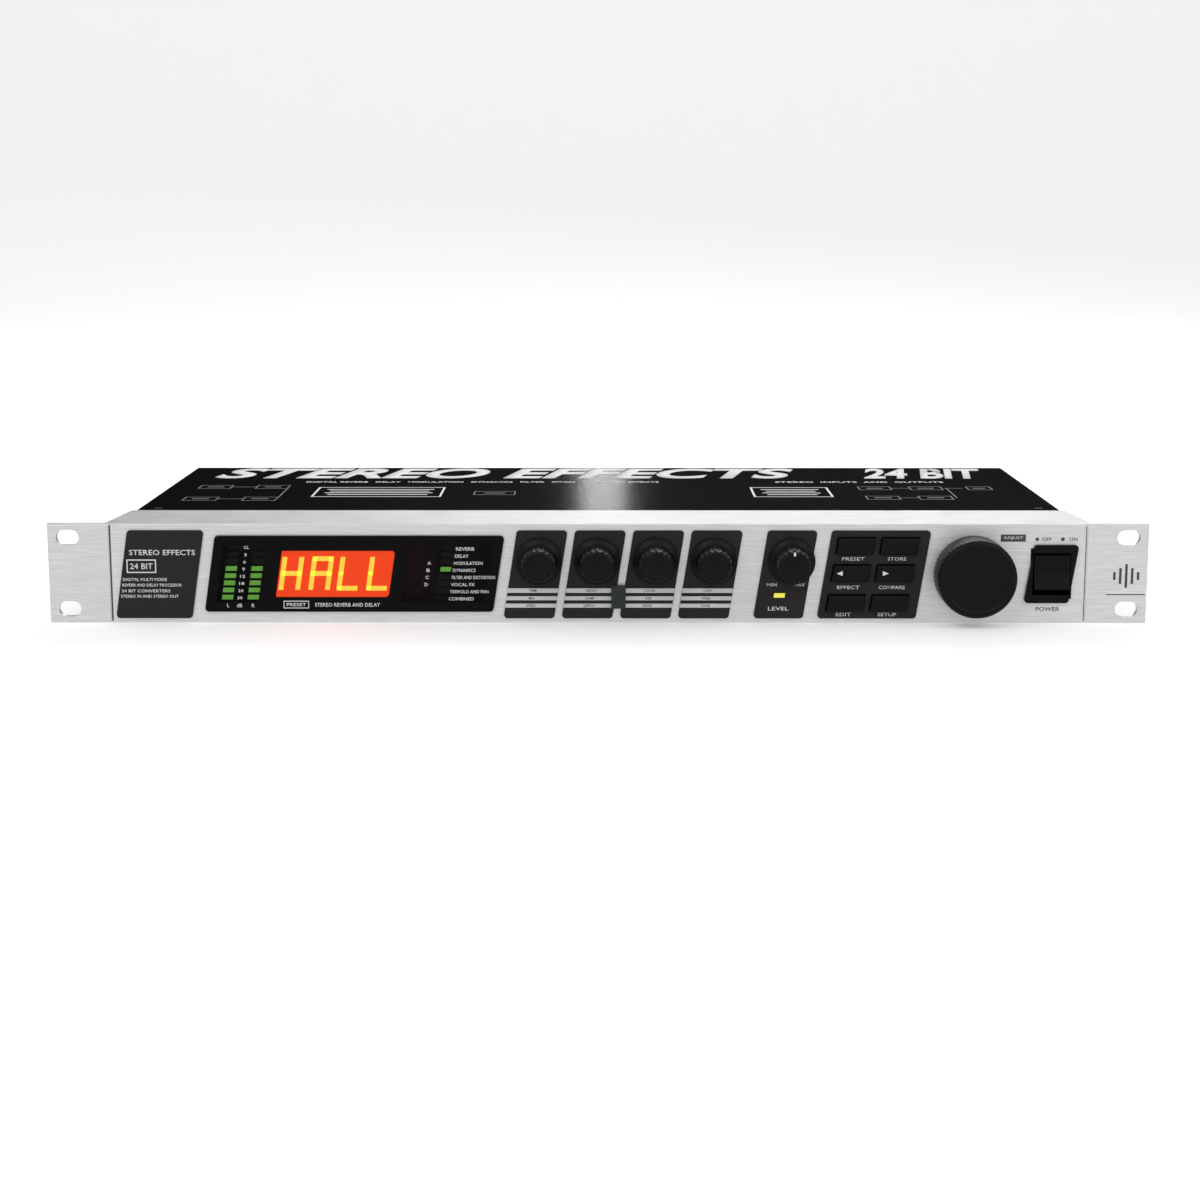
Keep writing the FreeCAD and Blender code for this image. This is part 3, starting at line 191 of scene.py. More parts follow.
UNIT_MIDDLE, COVER_MIDDLE = (0, 0, 0.02), (0, 0, 0.04)
soft_light("key_light", (-0.8, -1.4, 1.5), UNIT_MIDDLE, width=1.2, height=0.8, power=10)
soft_light("fill_light", (1.0, -1.0, 1.0), UNIT_MIDDLE, width=1.0, height=0.8, power=5)
soft_light("back_light", (0.3, 1.6, 1.3), UNIT_MIDDLE, width=1.2, height=0.6, power=13)
soft_light("glow_light", (0.0, 1.55, 0.26), COVER_MIDDLE, width=0.05, height=0.05, power=0.06)

# ---- Camera
# It stands about a metre in front of the panel, a little above it, and looks down ten
# degrees, so the cover shows as a narrow black band above the silver lip.
SENSOR_WIDTH, LENS_LENGTH = 36.0, 66.75
CAMERA_PLACE = (3.5, -1054.5, 189.0)
CAMERA_DOWN, CAMERA_ASIDE = 10.52, 0.15
camera_data = bpy.data.cameras.new("camera")
camera_data.sensor_width = SENSOR_WIDTH
camera_data.lens = LENS_LENGTH
camera = bpy.data.objects.new("camera", camera_data)
camera.location = [c * MM for c in CAMERA_PLACE]
camera.rotation_euler = (math.radians(90 - CAMERA_DOWN), 0, math.radians(CAMERA_ASIDE))
scene.collection.objects.link(camera)
scene.camera = camera

# ---- Case
# Folded steel: the tray with its rear panel in satin black paint, the cover in gloss black,
# both flat sheets bent at the edges.  Their holes and folds come from the frame.
paint(finish("tray_paint", (0.017, 0.017, 0.018), 0.42, grain=1500, bump=0.15, tint=0.1, shine=0.4),
      "chassis_tray")
paint(finish("cover_paint", (0.0015, 0.0015, 0.0015), 0.20, grain=700, uneven=0.03, bump=0.02,
             shine=0.08), "top_cover")
paint(finish("bracket_steel", (0.62, 0.62, 0.61), 0.34, 1.0, grain=500, stretch=(1, 1, 12)),
      "side_brackets")

# ---- Front panel
# One aluminium sheet, brushed along its length, is the face, the ears and the fold-back
# lips.  Two fine grooves part the ears from the face, with painted shade laid in them as dark bars,
# wider at the left; small words are printed on it.
FACE_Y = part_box("title_plate")[1][1] / MM
# how far the sides of plates, keys and lamps lean to the right for each millimetre up
LEAN = 0.156
MIDDLE_Z = 22.0
paint(finish("brushed_panel", (0.80, 0.80, 0.795), 0.40, 0.65, grain=260, stretch=(0.3, 6, 10),
             tint=0.10, uneven=0.07, bump=0.14, relief=0.03), "front_panel")


class Print:
    """A thin layer of print on one flat face, in millimetres of the unit's frame."""
    # the directions to the right, up and out of each face, for someone who looks at it
    FACES = {
        "front": (Vector((1, 0, 0)), Vector((0, 0, 1)), Vector((0, -1, 0))),
        "rear": (Vector((-1, 0, 0)), Vector((0, 0, 1)), Vector((0, 1, 0))),
        "top": (Vector((1, 0, 0)), Vector((0, 1, 0)), Vector((0, 0, 1))),
    }
    THICK = 0.05
    LARGE_WORDS, SMOOTH_CURVE, PLAIN_CURVE = 10, 8, 2

    def __init__(self, face, level):
        self.right, self.up, self.out = self.FACES[face]
        self.base = abs(level) * self.out
        self.mesh = bmesh.new()

    def place(self, a, b):
        """The frame of a point on the face; a runs along the unit's X, b up the face."""
        spot = self.base + Vector((a, 0, 0)) + b * self.up
        columns = (*self.right, 0), (*self.up, 0), (*self.out, 0), (*spot, 1)
        return Matrix.Scale(MM, 4) @ Matrix(columns).transposed()

    def words(self, text, a, b, height, width=None, align="CENTER", weight=0.012, slant=0.0):
        """Capitals of one height, squeezed or stretched to a width, centred on b.

        a is their middle, or where they begin if align is LEFT.
        """
        curve = bpy.data.curves.new("words", "FONT")
        curve.body = text
        curve.resolution_u = self.SMOOTH_CURVE if height > self.LARGE_WORDS else self.PLAIN_CURVE
        curve.offset = weight
        curve.shear = slant
        writer = bpy.data.objects.new("words", curve)
        scene.collection.objects.link(writer)
        view = bpy.context.evaluated_depsgraph_get()
        flat = bpy.data.meshes.new_from_object(writer.evaluated_get(view))
        bpy.data.objects.remove(writer)
        xs = [v.co.x for v in flat.vertices]
        ys = [v.co.y for v in flat.vertices]
        tall = height / (max(ys) - min(ys))
        wide = width / (max(xs) - min(xs)) if width else tall
        start = {"CENTER": (max(xs) + min(xs)) / 2, "LEFT": min(xs)}[align]
        middle = (max(ys) + min(ys)) / 2
        layer = bmesh.new()
        layer.from_mesh(flat)
        for vert in layer.verts:
            vert.co = Vector(((vert.co.x - start) * wide, (vert.co.y - middle) * tall, 0))
        raised = bmesh.ops.extrude_face_region(layer, geom=layer.faces[:])
        moved = [g for g in raised["geom"] if isinstance(g, bmesh.types.BMVert)]
        bmesh.ops.translate(layer, verts=moved, vec=(0, 0, self.THICK))
        bmesh.ops.recalc_face_normals(layer, faces=layer.faces)
        layer.transform(self.place(a, b))
        layer.to_mesh(flat)
        layer.free()
        self.mesh.from_mesh(flat)
        bpy.data.meshes.remove(flat)

    def shape(self, outline, a=0.0, b=0.0):
        """A filled outline of points about a, b, anticlockwise seen from outside."""
        place = self.place(a, b)
        lower = [self.mesh.verts.new(place @ Vector((u, v, 0))) for u, v in outline]
        upper = [self.mesh.verts.new(place @ Vector((u, v, self.THICK))) for u, v in outline]
        self.mesh.faces.new(upper)
        self.mesh.faces.new(lower[::-1])
        for i in range(len(outline)):
            k = (i + 1) % len(outline)
            self.mesh.faces.new((lower[i], lower[k], upper[k], upper[i]))

    def ring(self, outer, inner):
        """A flat ring between two outlines of as many points."""
        lower, upper = 0.0, self.THICK
        place = self.place(0, 0)
        loops = [[self.mesh.verts.new(place @ Vector((u, v, w))) for u, v in line]
                 for line, w in ((outer, lower), (outer, upper), (inner, upper), (inner, lower))]
        for first, second in zip(loops, loops[1:] + loops[:1]):
            for i in range(len(outer)):
                k = (i + 1) % len(outer)
                self.mesh.faces.new((first[i], first[k], second[k], second[i]))

    def bar(self, a, b, width, height, lean=0.0):
        """A bar about its middle; lean shifts its top to the right."""
        w, h, s = width / 2, height / 2, lean * height / 2
        self.shape([(-w - s, -h), (w - s, -h), (w + s, h), (-w + s, h)], a, b)

    def frame(self, a, b, width, height, line):
        """Four bars round a rectangle."""
        for side in (-1, 1):
            self.bar(a, b + side * (height - line) / 2, width, line)
            self.bar(a + side * (width - line) / 2, b, line, height - 2 * line)

    def dot(self, a, b, radius, sides=20):
        """A filled disc."""
        angles = [math.tau / sides * i for i in range(sides)]
        self.shape([(radius * math.cos(angle), radius * math.sin(angle)) for angle in angles], a, b)

    def done(self, name, material, body):
        """The finished layer as one piece on a body."""
        mesh = bpy.data.meshes.new(name)
        self.mesh.to_mesh(mesh)
        self.mesh.free()
        return keep(new_piece(name, mesh, material), body)


def leaned(x, z):
    """The x of a point on a leaning line that crosses mid-height at x."""
    return x + LEAN * (z - MIDDLE_Z)


# A dark ink for the print; the same finish also paints the shade in the seam grooves.
dark_ink_and_shade = finish("dark_ink_and_shade", (0.05, 0.05, 0.055), 0.6, grain=2500, tint=0.15)
panel_print = Print("front", FACE_Y)
WHEEL_LABEL = (181.9, 37.8)
panel_print.bar(*WHEEL_LABEL, 11.0, 3.2)
panel_print.words("POWER", 198.0, 6.2, 1.9, 10.5)
ON_OFF_Z, ON_OFF_HEIGHT = 37.3, 1.6
panel_print.dot(192.4, ON_OFF_Z, 0.8)
panel_print.words("OFF", 196.6, ON_OFF_Z, ON_OFF_HEIGHT, 4.2)
panel_print.bar(203.6, ON_OFF_Z, 1.5, 1.5)
panel_print.words("ON", 208.2, ON_OFF_Z, ON_OFF_HEIGHT, 3.6)
# A plain mark of five level bars over a line stands on the right ear.
MARK_X, MARK_Z = 232.0, 21.0
MARK_BARS, MARK_BAR_WIDTH, MARK_PITCH = (3.5, 7.0, 10.5, 7.0, 3.5), 1.1, 2.6
for step, height in enumerate(MARK_BARS):
    panel_print.bar(MARK_X + (step - 2) * MARK_PITCH, MARK_Z, MARK_BAR_WIDTH, height)
panel_print.bar(MARK_X, MARK_Z - 8.3, 17, 0.45)
panel_print.done("panel_print", dark_ink_and_shade, "chassis")
# Painted shade: a dark bar sits down in each seam groove, wider at the left seam, where the shadow
# falls.
SEAM_X, SEAM_DEPTH, SEAM_HEIGHT = 214.0, 0.5, 42.5
seam_shade = Print("front", FACE_Y + SEAM_DEPTH)
seam_shade.bar(-SEAM_X, MIDDLE_Z, 0.7, SEAM_HEIGHT)
seam_shade.bar(SEAM_X, MIDDLE_Z, 0.35, SEAM_HEIGHT)
seam_shade.done("seam_shade", dark_ink_and_shade, "chassis")
silver_ink = finish("silver_ink", (0.62, 0.62, 0.62), 0.5, grain=2500, tint=0.08)
data_label = Print("front", FACE_Y - Print.THICK)
data_label.words("ADJUST", *WHEEL_LABEL, 1.5, 8.6)
data_label.done("data_label", silver_ink, "chassis")

# ---- Title plate
# A thin leaning plate, satin charcoal, printed in silver with what the unit is.
charcoal = finish("plate_charcoal", (0.019, 0.016, 0.0165), 0.42, grain=1800, tint=0.18, uneven=0.06,
                  bump=0.10, shine=0.16)
paint(charcoal, "title_plate", "level_plate", "button_plate")
plate_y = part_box("title_plate")[0][1] / MM
title_print = Print("front", plate_y)
title_print.words("STEREO EFFECTS", -191.0, 31.4, 2.4, 29.0)
BIT_BOX = (-200.3, 25.3)
title_print.frame(*BIT_BOX, 13.0, 6.0, 0.5)
title_print.words("24 BIT", *BIT_BOX, 2.6, 10.0)
TITLE_LEFT, TITLE_LINE_HEIGHT = -208.2, 1.35
TITLE_LINES = (
    # height of the line's middle, its width, its words
    (19.4, 19.3, "DIGITAL MULTI MODE"), (16.9, 26.2, "REVERB AND DELAY PROCESSOR"),
    (14.3, 21.5, "24 BIT CONVERTERS"), (11.9, 25.4, "STEREO IN AND STEREO OUT"),
)
for z, width, text in TITLE_LINES:
    title_print.words(text, leaned(TITLE_LEFT, z), z, TITLE_LINE_HEIGHT, width, "LEFT")
title_print.done("title_print", silver_ink, "chassis")

# ---- Lit display and lamps
# A four-place display glows orange with yellow segments, between green lamps in two meter
# columns and a status column with one lit.  They sit behind the smoked window.  A moulded
# yellow lamp stands under the level knob.


def lit(name, colour, strength, roughness=0.4):
    """A moulded lens that glows."""
    material = finish(name, colour, roughness, grain=1200, tint=0.05)
    shader = material.node_tree.nodes["Principled BSDF"]
    shader.inputs["Emission Color"].default_value = (*colour, 1)
    shader.inputs["Emission Strength"].default_value = strength
    return material


paint(lit("display_orange", (1.0, 0.065, 0.012), 2.1), "led_display")
display_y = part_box("led_display")[0][1] / MM
SEGMENTS = {
    # name: middle across and up in half letter sizes, then whether it stands
    "top": (0, 1, False), "middle": (0, 0, False), "bottom": (0, -1, False),
    "upper_left": (-1, 0.5, True), "upper_right": (1, 0.5, True),
    "lower_left": (-1, -0.5, True), "lower_right": (1, -0.5, True),
}
LETTERS = {
    "H": ("upper_left", "upper_right", "middle", "lower_left", "lower_right"),
    "A": ("top", "upper_left", "upper_right", "middle", "lower_left", "lower_right"),
    "L": ("upper_left", "lower_left", "bottom"),
}
LETTER_HALF_WIDTH, LETTER_HALF_HEIGHT, STROKE, STROKE_OVERLAP = 3.7, 6.6, 2.1, 0.7
LETTER_XS = (-134.7, -121.6, -109.2, -96.2)
LETTER_Z = 21.9
segments = Print("front", display_y)
for letter, x in zip("HALL", LETTER_XS):
    for name in LETTERS[letter]:
        across, up, stands = SEGMENTS[name]
        z = LETTER_Z + up * LETTER_HALF_HEIGHT
        middle_x = leaned(x + across * LETTER_HALF_WIDTH, z)
        if stands:
            segments.bar(middle_x, z, STROKE, LETTER_HALF_HEIGHT + STROKE * STROKE_OVERLAP, LEAN)
        else:
            segments.bar(middle_x, z, 2 * LETTER_HALF_WIDTH + STROKE * STROKE_OVERLAP, STROKE, LEAN)
segments.done("display_segments", lit("segment_yellow", (1.0, 0.48, 0.05), 3.4), "chassis")
paint(finish("lamp_unlit", (0.022, 0.035, 0.02), 0.35, grain=1500), "indicator_leds")
LAMP_PITCH, LAMP_LOW = 3.2, 11.3
METER_XS, LIT_STEPS = (-161.35, -150.05), 5
STATUS_X, STATUS_LIT_Z = -67.1, 23.8
LEVEL_LAMP, LEVEL_LAMP_PROUD = (79.8, 12.45), 1.0
glow_lamps = Print("front", display_y)
for column in METER_XS:
    for step in range(LIT_STEPS):
        z = LAMP_LOW + step * LAMP_PITCH
        glow_lamps.bar(leaned(column, z), z, 4.9, 2.1, LEAN)
glow_lamps.bar(leaned(STATUS_X, STATUS_LIT_Z), STATUS_LIT_Z, 4.6, 2.0, LEAN)
glow_lamps.done("lit_lamps", lit("lamp_green", (0.22, 0.62, 0.09), 1.0), "chassis")
level_lamp = Print("front", FACE_Y - LEVEL_LAMP_PROUD)
level_lamp.bar(*LEVEL_LAMP, 4.8, 2.0, LEAN)
level_lamp.done("level_lamp", lit("lamp_yellow", (0.66, 0.60, 0.06), 0.5), "chassis")

# ---- Display window
# One leaning sheet of smoked clear plastic over the display.  A black margin and a bezel
# round the display are printed on it, and the scale, effect names and labels over them.
SMOKE, SMOKE_ROUGHNESS, SMOKE_ALPHA = (0.002, 0.002, 0.002), 0.12, 0.4
window_glass = finish("window_smoke", SMOKE, SMOKE_ROUGHNESS, grain=500, uneven=0.01, bump=0.0,
                      shine=0.1)
window_glass.node_tree.nodes["Principled BSDF"].inputs["Alpha"].default_value = SMOKE_ALPHA
paint(window_glass, "display_window")
white_ink = finish("white_ink", (0.60, 0.61, 0.62), 0.55, grain=2500, tint=0.06)
window_low, window_high = [[c / MM for c in corner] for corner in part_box("display_window")]
window_y = window_low[1]


def leaning_outline(x, width, low, high, corner, inset=0.0, steps=6, least_corner=0.1):
    """A leaning rectangle with round corners, anticlockwise from its low right one."""
    points = []
    for k, (side, end) in enumerate(((1, low), (1, high), (-1, high), (-1, low))):
        up = 1 if end == high else -1
        r = max(corner - inset, least_corner)
        cx = x + side * (width / 2 - inset - r)
        cz = end - up * (inset + r)
        for i in range(steps + 1):
            angle = math.radians(90 * (k - 1) + 90 * i / steps)
            px, pz = cx + r * math.cos(angle), cz + r * math.sin(angle)
            points.append((leaned(px, pz), pz))
    return points


WINDOW_X, WINDOW_WIDTH, WINDOW_CORNER = -106.9, 127.0, 2.0
MARGIN_EDGE, MARGIN_WIDTH = 0.15, 4.6
mask = Print("front", window_y)
mask.ring(*[leaning_outline(WINDOW_X, WINDOW_WIDTH, window_low[2], window_high[2], WINDOW_CORNER, inset)
            for inset in (MARGIN_EDGE, MARGIN_WIDTH)])
DISPLAY_X, DISPLAY_WIDTH, DISPLAY_LOW, DISPLAY_HIGH, DISPLAY_CORNER = -115.6, 50.5, 11.7, 32.2, 1.5
BEZEL_SIDES, BEZEL_FOOT, BEZEL_TOP = 12, 3.0, 3.5
bezel = Print("front", window_y + Print.THICK / 2)
bezel.ring(leaning_outline(DISPLAY_X, DISPLAY_WIDTH + BEZEL_SIDES, DISPLAY_LOW - BEZEL_FOOT,
                           DISPLAY_HIGH + BEZEL_TOP, DISPLAY_CORNER),
           leaning_outline(DISPLAY_X, DISPLAY_WIDTH, DISPLAY_LOW, DISPLAY_HIGH, DISPLAY_CORNER))
mask_black = finish("mask_black", SMOKE, SMOKE_ROUGHNESS, grain=500, uneven=0.01, bump=0.0, shine=0.1)
mask.done("window_mask", mask_black, "chassis")
bezel.done("display_bezel", mask_black, "chassis")
window_print = Print("front", window_y - Print.THICK)
METER_SCALE, SCALE_X = ("30", "24", "18", "12", "9", "6", "3", "CL"), -155.7
SCALE_HEIGHT, TWO_FIGURES, ONE_FIGURE = 1.3, 2.3, 1.2
for step, text in enumerate(METER_SCALE):
    z = LAMP_LOW + step * LAMP_PITCH
    window_print.words(text, leaned(SCALE_X, z), z, SCALE_HEIGHT,
                       TWO_FIGURES if len(text) > 1 else ONE_FIGURE)
METER_FOOT_Z = 7.9
for text, x in (("L", -162.6), ("dB", -157.6), ("R", -151.6)):
    window_print.words(text, x, METER_FOOT_Z, 1.6)
EFFECTS = (("REVERB", 8.0), ("DELAY", 6.0), ("MODULATION", 12.6), ("DYNAMICS", 10.0),
           ("FILTER AND DISTORTION", 19.0), ("VOCAL FX", 10.6), ("TREMOLO AND PAN", 17.0),
           ("COMBINED", 11.0))
STATUS_PITCH, STATUS_HEIGHT = 3.17, 1.5
EFFECTS_LEFT, EFFECTS_TOP = -63.8, 33.1
BANKS_X, BANKS_TOP = -74.6, 26.8
for step, (text, width) in enumerate(EFFECTS):
    z = EFFECTS_TOP - step * STATUS_PITCH
    window_print.words(text, leaned(EFFECTS_LEFT, z), z, STATUS_HEIGHT, width, "LEFT")
for step, text in enumerate("ABCD"):
    z = BANKS_TOP - step * STATUS_PITCH
    window_print.words(text, leaned(BANKS_X, z), z, STATUS_HEIGHT, STATUS_HEIGHT)
PRESET_BOX = (-132.6, 8.3)
window_print.frame(*PRESET_BOX, 11.2, 3.4, 0.35)
window_print.words("PRESET", *PRESET_BOX, 1.5, 8.6)
window_print.words("STEREO REVERB AND DELAY", -110.1, 8.2, 1.7, 28.6)
window_print.done("window_print", white_ink, "chassis")

# ---- Edit plates
# Four plates under the edit knobs: charcoal round the knob, three pale stripes for what
# the knob sets, and a charcoal foot.
paint(charcoal, "edit_plates")
FIRST_EDIT_X, EDIT_PITCH = -27.3, 25.58
STRIPE_WIDTH, STRIPE_WORD_HEIGHT = 22.2, 1.1
STRIPES = ((14.5, 2.0), (11.1, 1.8), (7.8, 1.8))
stripe_print = Print("front", plate_y)
stripe_words = Print("front", plate_y - Print.THICK)
PARAMETERS = (("TIME", "MIX", "SPEED"), ("DECAY", "DAMP", "DEPTH"), ("COLOR", "SIZE", "DRIVE"),
              ("LOW", "HIGH", "TONE"))
for plate, names in enumerate(PARAMETERS):
    x = FIRST_EDIT_X + plate * EDIT_PITCH
    for (z, height), text in zip(STRIPES, names):
        stripe_print.bar(leaned(x, z), z, STRIPE_WIDTH, height, LEAN)
        stripe_words.words(text, leaned(x, z), z, STRIPE_WORD_HEIGHT)
stripe_print.done("edit_stripes", finish("stripe_silver", (0.55, 0.55, 0.55), 0.45, grain=2000),
                  "chassis")
stripe_words.done("edit_words", dark_ink_and_shade, "chassis")
paint(finish("dark_green_lens", (0.006, 0.016, 0.011), 0.2, grain=900), "edit_indicator")

# ---- Level plate
# The same charcoal plate under the level knob, printed in white with the knob's two ends
# and its name.
level_print = Print("front", plate_y)
level_print.words("MIN", 76.4, 17.2, 1.4, 4.4)
level_print.words("MAX", 88.6, 17.2, 1.4, 4.6)
level_print.words("LEVEL", 79.4, 6.5, 1.7, 9.0)
level_print.done("level_print", white_ink, "chassis")

# ---- Key plate and keys
# Six leaning moulded keys stand in windows in their plate, with white labels under them
# and an arrow on the middle two.  A rounded cap goes over the frame's own stem and rim.
KEY_LABELS = {
    "left": (110.95, ("PRESET", "EFFECT", "EDIT")),
    "right": (130.1, ("STORE", "COMPARE", "SETUP")),
}
key_print = Print("front", plate_y)
KEY_LABEL_ZS, KEY_LABEL_HEIGHT, KEY_LETTER_PITCH = (28.7, 16.0, 3.9), 1.6, 1.65
for column, texts in KEY_LABELS.values():
    for z, text in zip(KEY_LABEL_ZS, texts):
        key_print.words(text, leaned(column, z), z, KEY_LABEL_HEIGHT, KEY_LETTER_PITCH * len(text))
key_print.done("key_print", white_ink, "chassis")
key_plastic = finish("key_plastic", (0.004, 0.004, 0.004), 0.45, grain=2200, bump=0.2, tint=0.12,
                     shine=0.14)


def soft_cap(name, low, high, crown, radius, material, steps=10):
    """A leaning block with rounded edges, its front face slightly crowned."""
    shape = bmesh.new()
    x0, y0, z0 = low
    x1, y1, z1 = high
    rows = []
    for row in range(steps + 1):
        z = z0 + (z1 - z0) * row / steps
        rise = crown * (1 - (2 * row / steps - 1) ** 2)
        rows.append([Vector((x0 + LEAN * (z - z0) + (x1 - x0) * k, y0 - rise, z)) for k in (0, 1)])
    front = [[shape.verts.new(p * MM) for p in row] for row in rows]
    back = [[shape.verts.new(Vector((p.x, y1, p.z)) * MM) for p in row] for row in rows]
    for lower, upper in zip(range(steps), range(1, steps + 1)):
        shape.faces.new((front[lower][0], front[lower][1], front[upper][1], front[upper][0]))
        shape.faces.new((back[lower][1], back[lower][0], back[upper][0], back[upper][1]))
        for side, order in ((0, 1), (1, -1)):
            ring = [back[lower][side], front[lower][side], front[upper][side], back[upper][side]]
            shape.faces.new(ring[::order])
    for row, order in ((0, 1), (steps, -1)):
        ring = [front[row][0], back[row][0], back[row][1], front[row][1]]
        shape.faces.new(ring[::order])
    bmesh.ops.recalc_face_normals(shape, faces=shape.faces)
    mesh = bpy.data.meshes.new(name)
    shape.to_mesh(mesh)
    shape.free()
    piece = new_piece(name, mesh, material)
    bevel = piece.modifiers.new("soft_edges", "BEVEL")
    bevel.width = radius * MM
    bevel.segments = 4
    bevel.limit_method = "ANGLE"
    bevel.angle_limit = math.radians(40)
    return piece


def settle(piece):
    """Make a piece's modifiers part of its mesh."""
    view = bpy.context.evaluated_depsgraph_get()
    solid = bpy.data.meshes.new_from_object(piece.evaluated_get(view))
    piece.modifiers.clear()
    old = piece.data
    piece.data = solid
    solid.name = piece.name
    bpy.data.meshes.remove(old)
    for face in solid.polygons:
        face.use_smooth = True
    solid.set_sharp_from_angle(angle=math.radians(30))
    return piece


KEY_RIM, KEY_BACK = 0.9, 3.2
CAP_WIDTH, CAP_PROUD, CAP_CROWN, CAP_EDGE = 16.0, 0.45, 0.25, 0.45
for side in KEY_LABELS:
    for row in ("top", "middle", "bottom"):
        node = f"{side}_{row}_key"
        paint(key_plastic, node)
        low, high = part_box(node)
        height = (high[2] - low[2]) / MM - 2 * KEY_RIM
        x0 = low[0] / MM + KEY_RIM * (1 + LEAN)
        cap = soft_cap(node + "_cap", (x0, low[1] / MM - CAP_PROUD, low[2] / MM + KEY_RIM),
                       (x0 + CAP_WIDTH, high[1] / MM - KEY_BACK, low[2] / MM + KEY_RIM + height),
                       CAP_CROWN, CAP_EDGE, key_plastic)
        settle(cap)
        keep(cap, f"{side}_{row}_push")
KEY_MARK_PROUD, KEY_MARK_Z = 0.68, 22.6
KEY_MARKS = {
    # how far the arrow stands from the key's low left corner, then its outline
    "left": (4.5, [(1.3, -1.1), (1.3, 1.1), (-1.3, 0)]),
    "right": (5.5, [(-1.3, -1.1), (1.3, 0), (-1.3, 1.1)]),
}
for side, (along, outline) in KEY_MARKS.items():
    low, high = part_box(f"{side}_middle_key")
    mark = Print("front", low[1] / MM - KEY_MARK_PROUD)
    mark.shape(outline, low[0] / MM + along, KEY_MARK_Z)
    mark.done(f"{side}_key_mark", white_ink, f"{side}_middle_push")

# ---- Edit and level knobs
# Soft black moulded knobs on D shafts: a plain skirt, a cap with fine flutes for the
# fingers, and a shallow dish in the face.  The level knob also has a pointer line.
knob_black = finish("knob_black", (0.004, 0.004, 0.0042), 0.42, grain=1800, bump=0.15, tint=0.12,
                    shine=0.14)


def turned(name, profile, centre, material, sides, flutes, depth, fluted):
    """A body turned about a line straight out of the panel, closed at both ends.

    profile is (radius, distance forward) in mm.  The rings whose number is in fluted are
    pinched in by depth, flutes times round.
    """
    shape = bmesh.new()
    out, up = Vector((0, -1, 0)), Vector((0, 0, 1))
    side = out.cross(up)
    rings = []
    for number, (radius, along) in enumerate(profile):
        base = Vector(centre) + along * out
        if radius == 0:
            rings.append([shape.verts.new(base * MM)])
            continue
        ring = []
        for i in range(sides):
            angle = math.tau * i / sides
            pinch = depth * (0.5 + 0.5 * math.cos(flutes * angle)) if number in fluted else 0.0
            away = math.cos(angle) * side + math.sin(angle) * up
            ring.append(shape.verts.new((base + (radius - pinch) * away) * MM))
        rings.append(ring)
    for inner, outer in zip(rings, rings[1:]):
        for i in range(sides):
            k = (i + 1) % sides
            if len(inner) == 1:
                shape.faces.new((inner[0], outer[i], outer[k]))
            elif len(outer) == 1:
                shape.faces.new((inner[i], outer[0], inner[k]))
            else:
                shape.faces.new((inner[i], outer[i], outer[k], inner[k]))
    bmesh.ops.recalc_face_normals(shape, faces=shape.faces)
    mesh = bpy.data.meshes.new(name)
    shape.to_mesh(mesh)
    shape.free()
    for face in mesh.polygons:
        face.use_smooth = True
    mesh.set_sharp_from_angle(angle=math.radians(32))
    return new_piece(name, mesh, material)


# radius and distance forward of the back of the skirt
KNOB_PROFILE = (
    (0, 0.0), (9.6, 0.0), (10.1, 0.15), (10.25, 0.6), (10.25, 2.0), (10.1, 2.6), (9.6, 3.0),
    (8.3, 3.35), (7.8, 3.8), (7.55, 4.6), (7.45, 5.4), (7.3, 13.6), (7.1, 14.7), (6.6, 15.4),
    (5.9, 15.75), (5.3, 15.8), (4.6, 15.6), (3.0, 15.25), (1.2, 15.1), (0, 15.08),
)
KNOB_LENGTH = max(along for _, along in KNOB_PROFILE)
KNOB_FLUTED, KNOB_FLUTES, FLUTE_DEPTH, KNOB_SIDES = range(10, 13), 18, 0.4, 108
POINTER_SUNK, POINTER_UP, POINTER_WIDTH, POINTER_HEIGHT = 0.02, 5.6, 0.9, 1.6
KNOB_BODIES = {f"edit_knob_{i}": f"edit_control_{i}" for i in range(1, 5)}
KNOB_BODIES["level_knob"] = "level_control"
for node, body in KNOB_BODIES.items():
    low, high = [[c / MM for c in corner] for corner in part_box(node)]
    centre = ((low[0] + high[0]) / 2, high[1], (low[2] + high[2]) / 2)
    stretch = (high[1] - low[1]) / KNOB_LENGTH
    profile = [(radius, along * stretch) for radius, along in KNOB_PROFILE]
    knob = turned(node + "_body", profile, centre, knob_black, KNOB_SIDES, KNOB_FLUTES,
                  FLUTE_DEPTH, KNOB_FLUTED)
    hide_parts(node)
    keep(knob, body)
    if node == "level_knob":
        pointer = Print("front", low[1] + POINTER_SUNK)
        pointer.bar(centre[0], centre[2] + POINTER_UP, POINTER_WIDTH, POINTER_HEIGHT)
        pointer.done("level_pointer", white_ink, body)
paint(finish("shaft_steel", (0.55, 0.55, 0.56), 0.3, 1.0, grain=1500, stretch=(1, 0.1, 1)),
      "edit_shaft_1", "edit_shaft_2", "edit_shaft_3", "edit_shaft_4", "level_shaft", "data_wheel_shaft")
paint(finish("control_case", (0.05, 0.10, 0.16), 0.5, grain=1200), "rotary_controls")

# ---- Data wheel
# A large flat knob in the same soft black, moulded with a finely ribbed edge, a raised rim
# and a slightly sunk face, and pushed on its shaft.
low, high = [[c / MM for c in corner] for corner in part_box("data_wheel")]
wheel_centre = ((low[0] + high[0]) / 2, high[1], (low[2] + high[2]) / 2)
wheel_radius = (high[0] - low[0]) / 2
wheel_depth = high[1] - low[1]
WHEEL_SIDES, WHEEL_RIBS, RIB_DEPTH, WHEEL_RIBBED = 216, 54, 0.25, (2, 3)
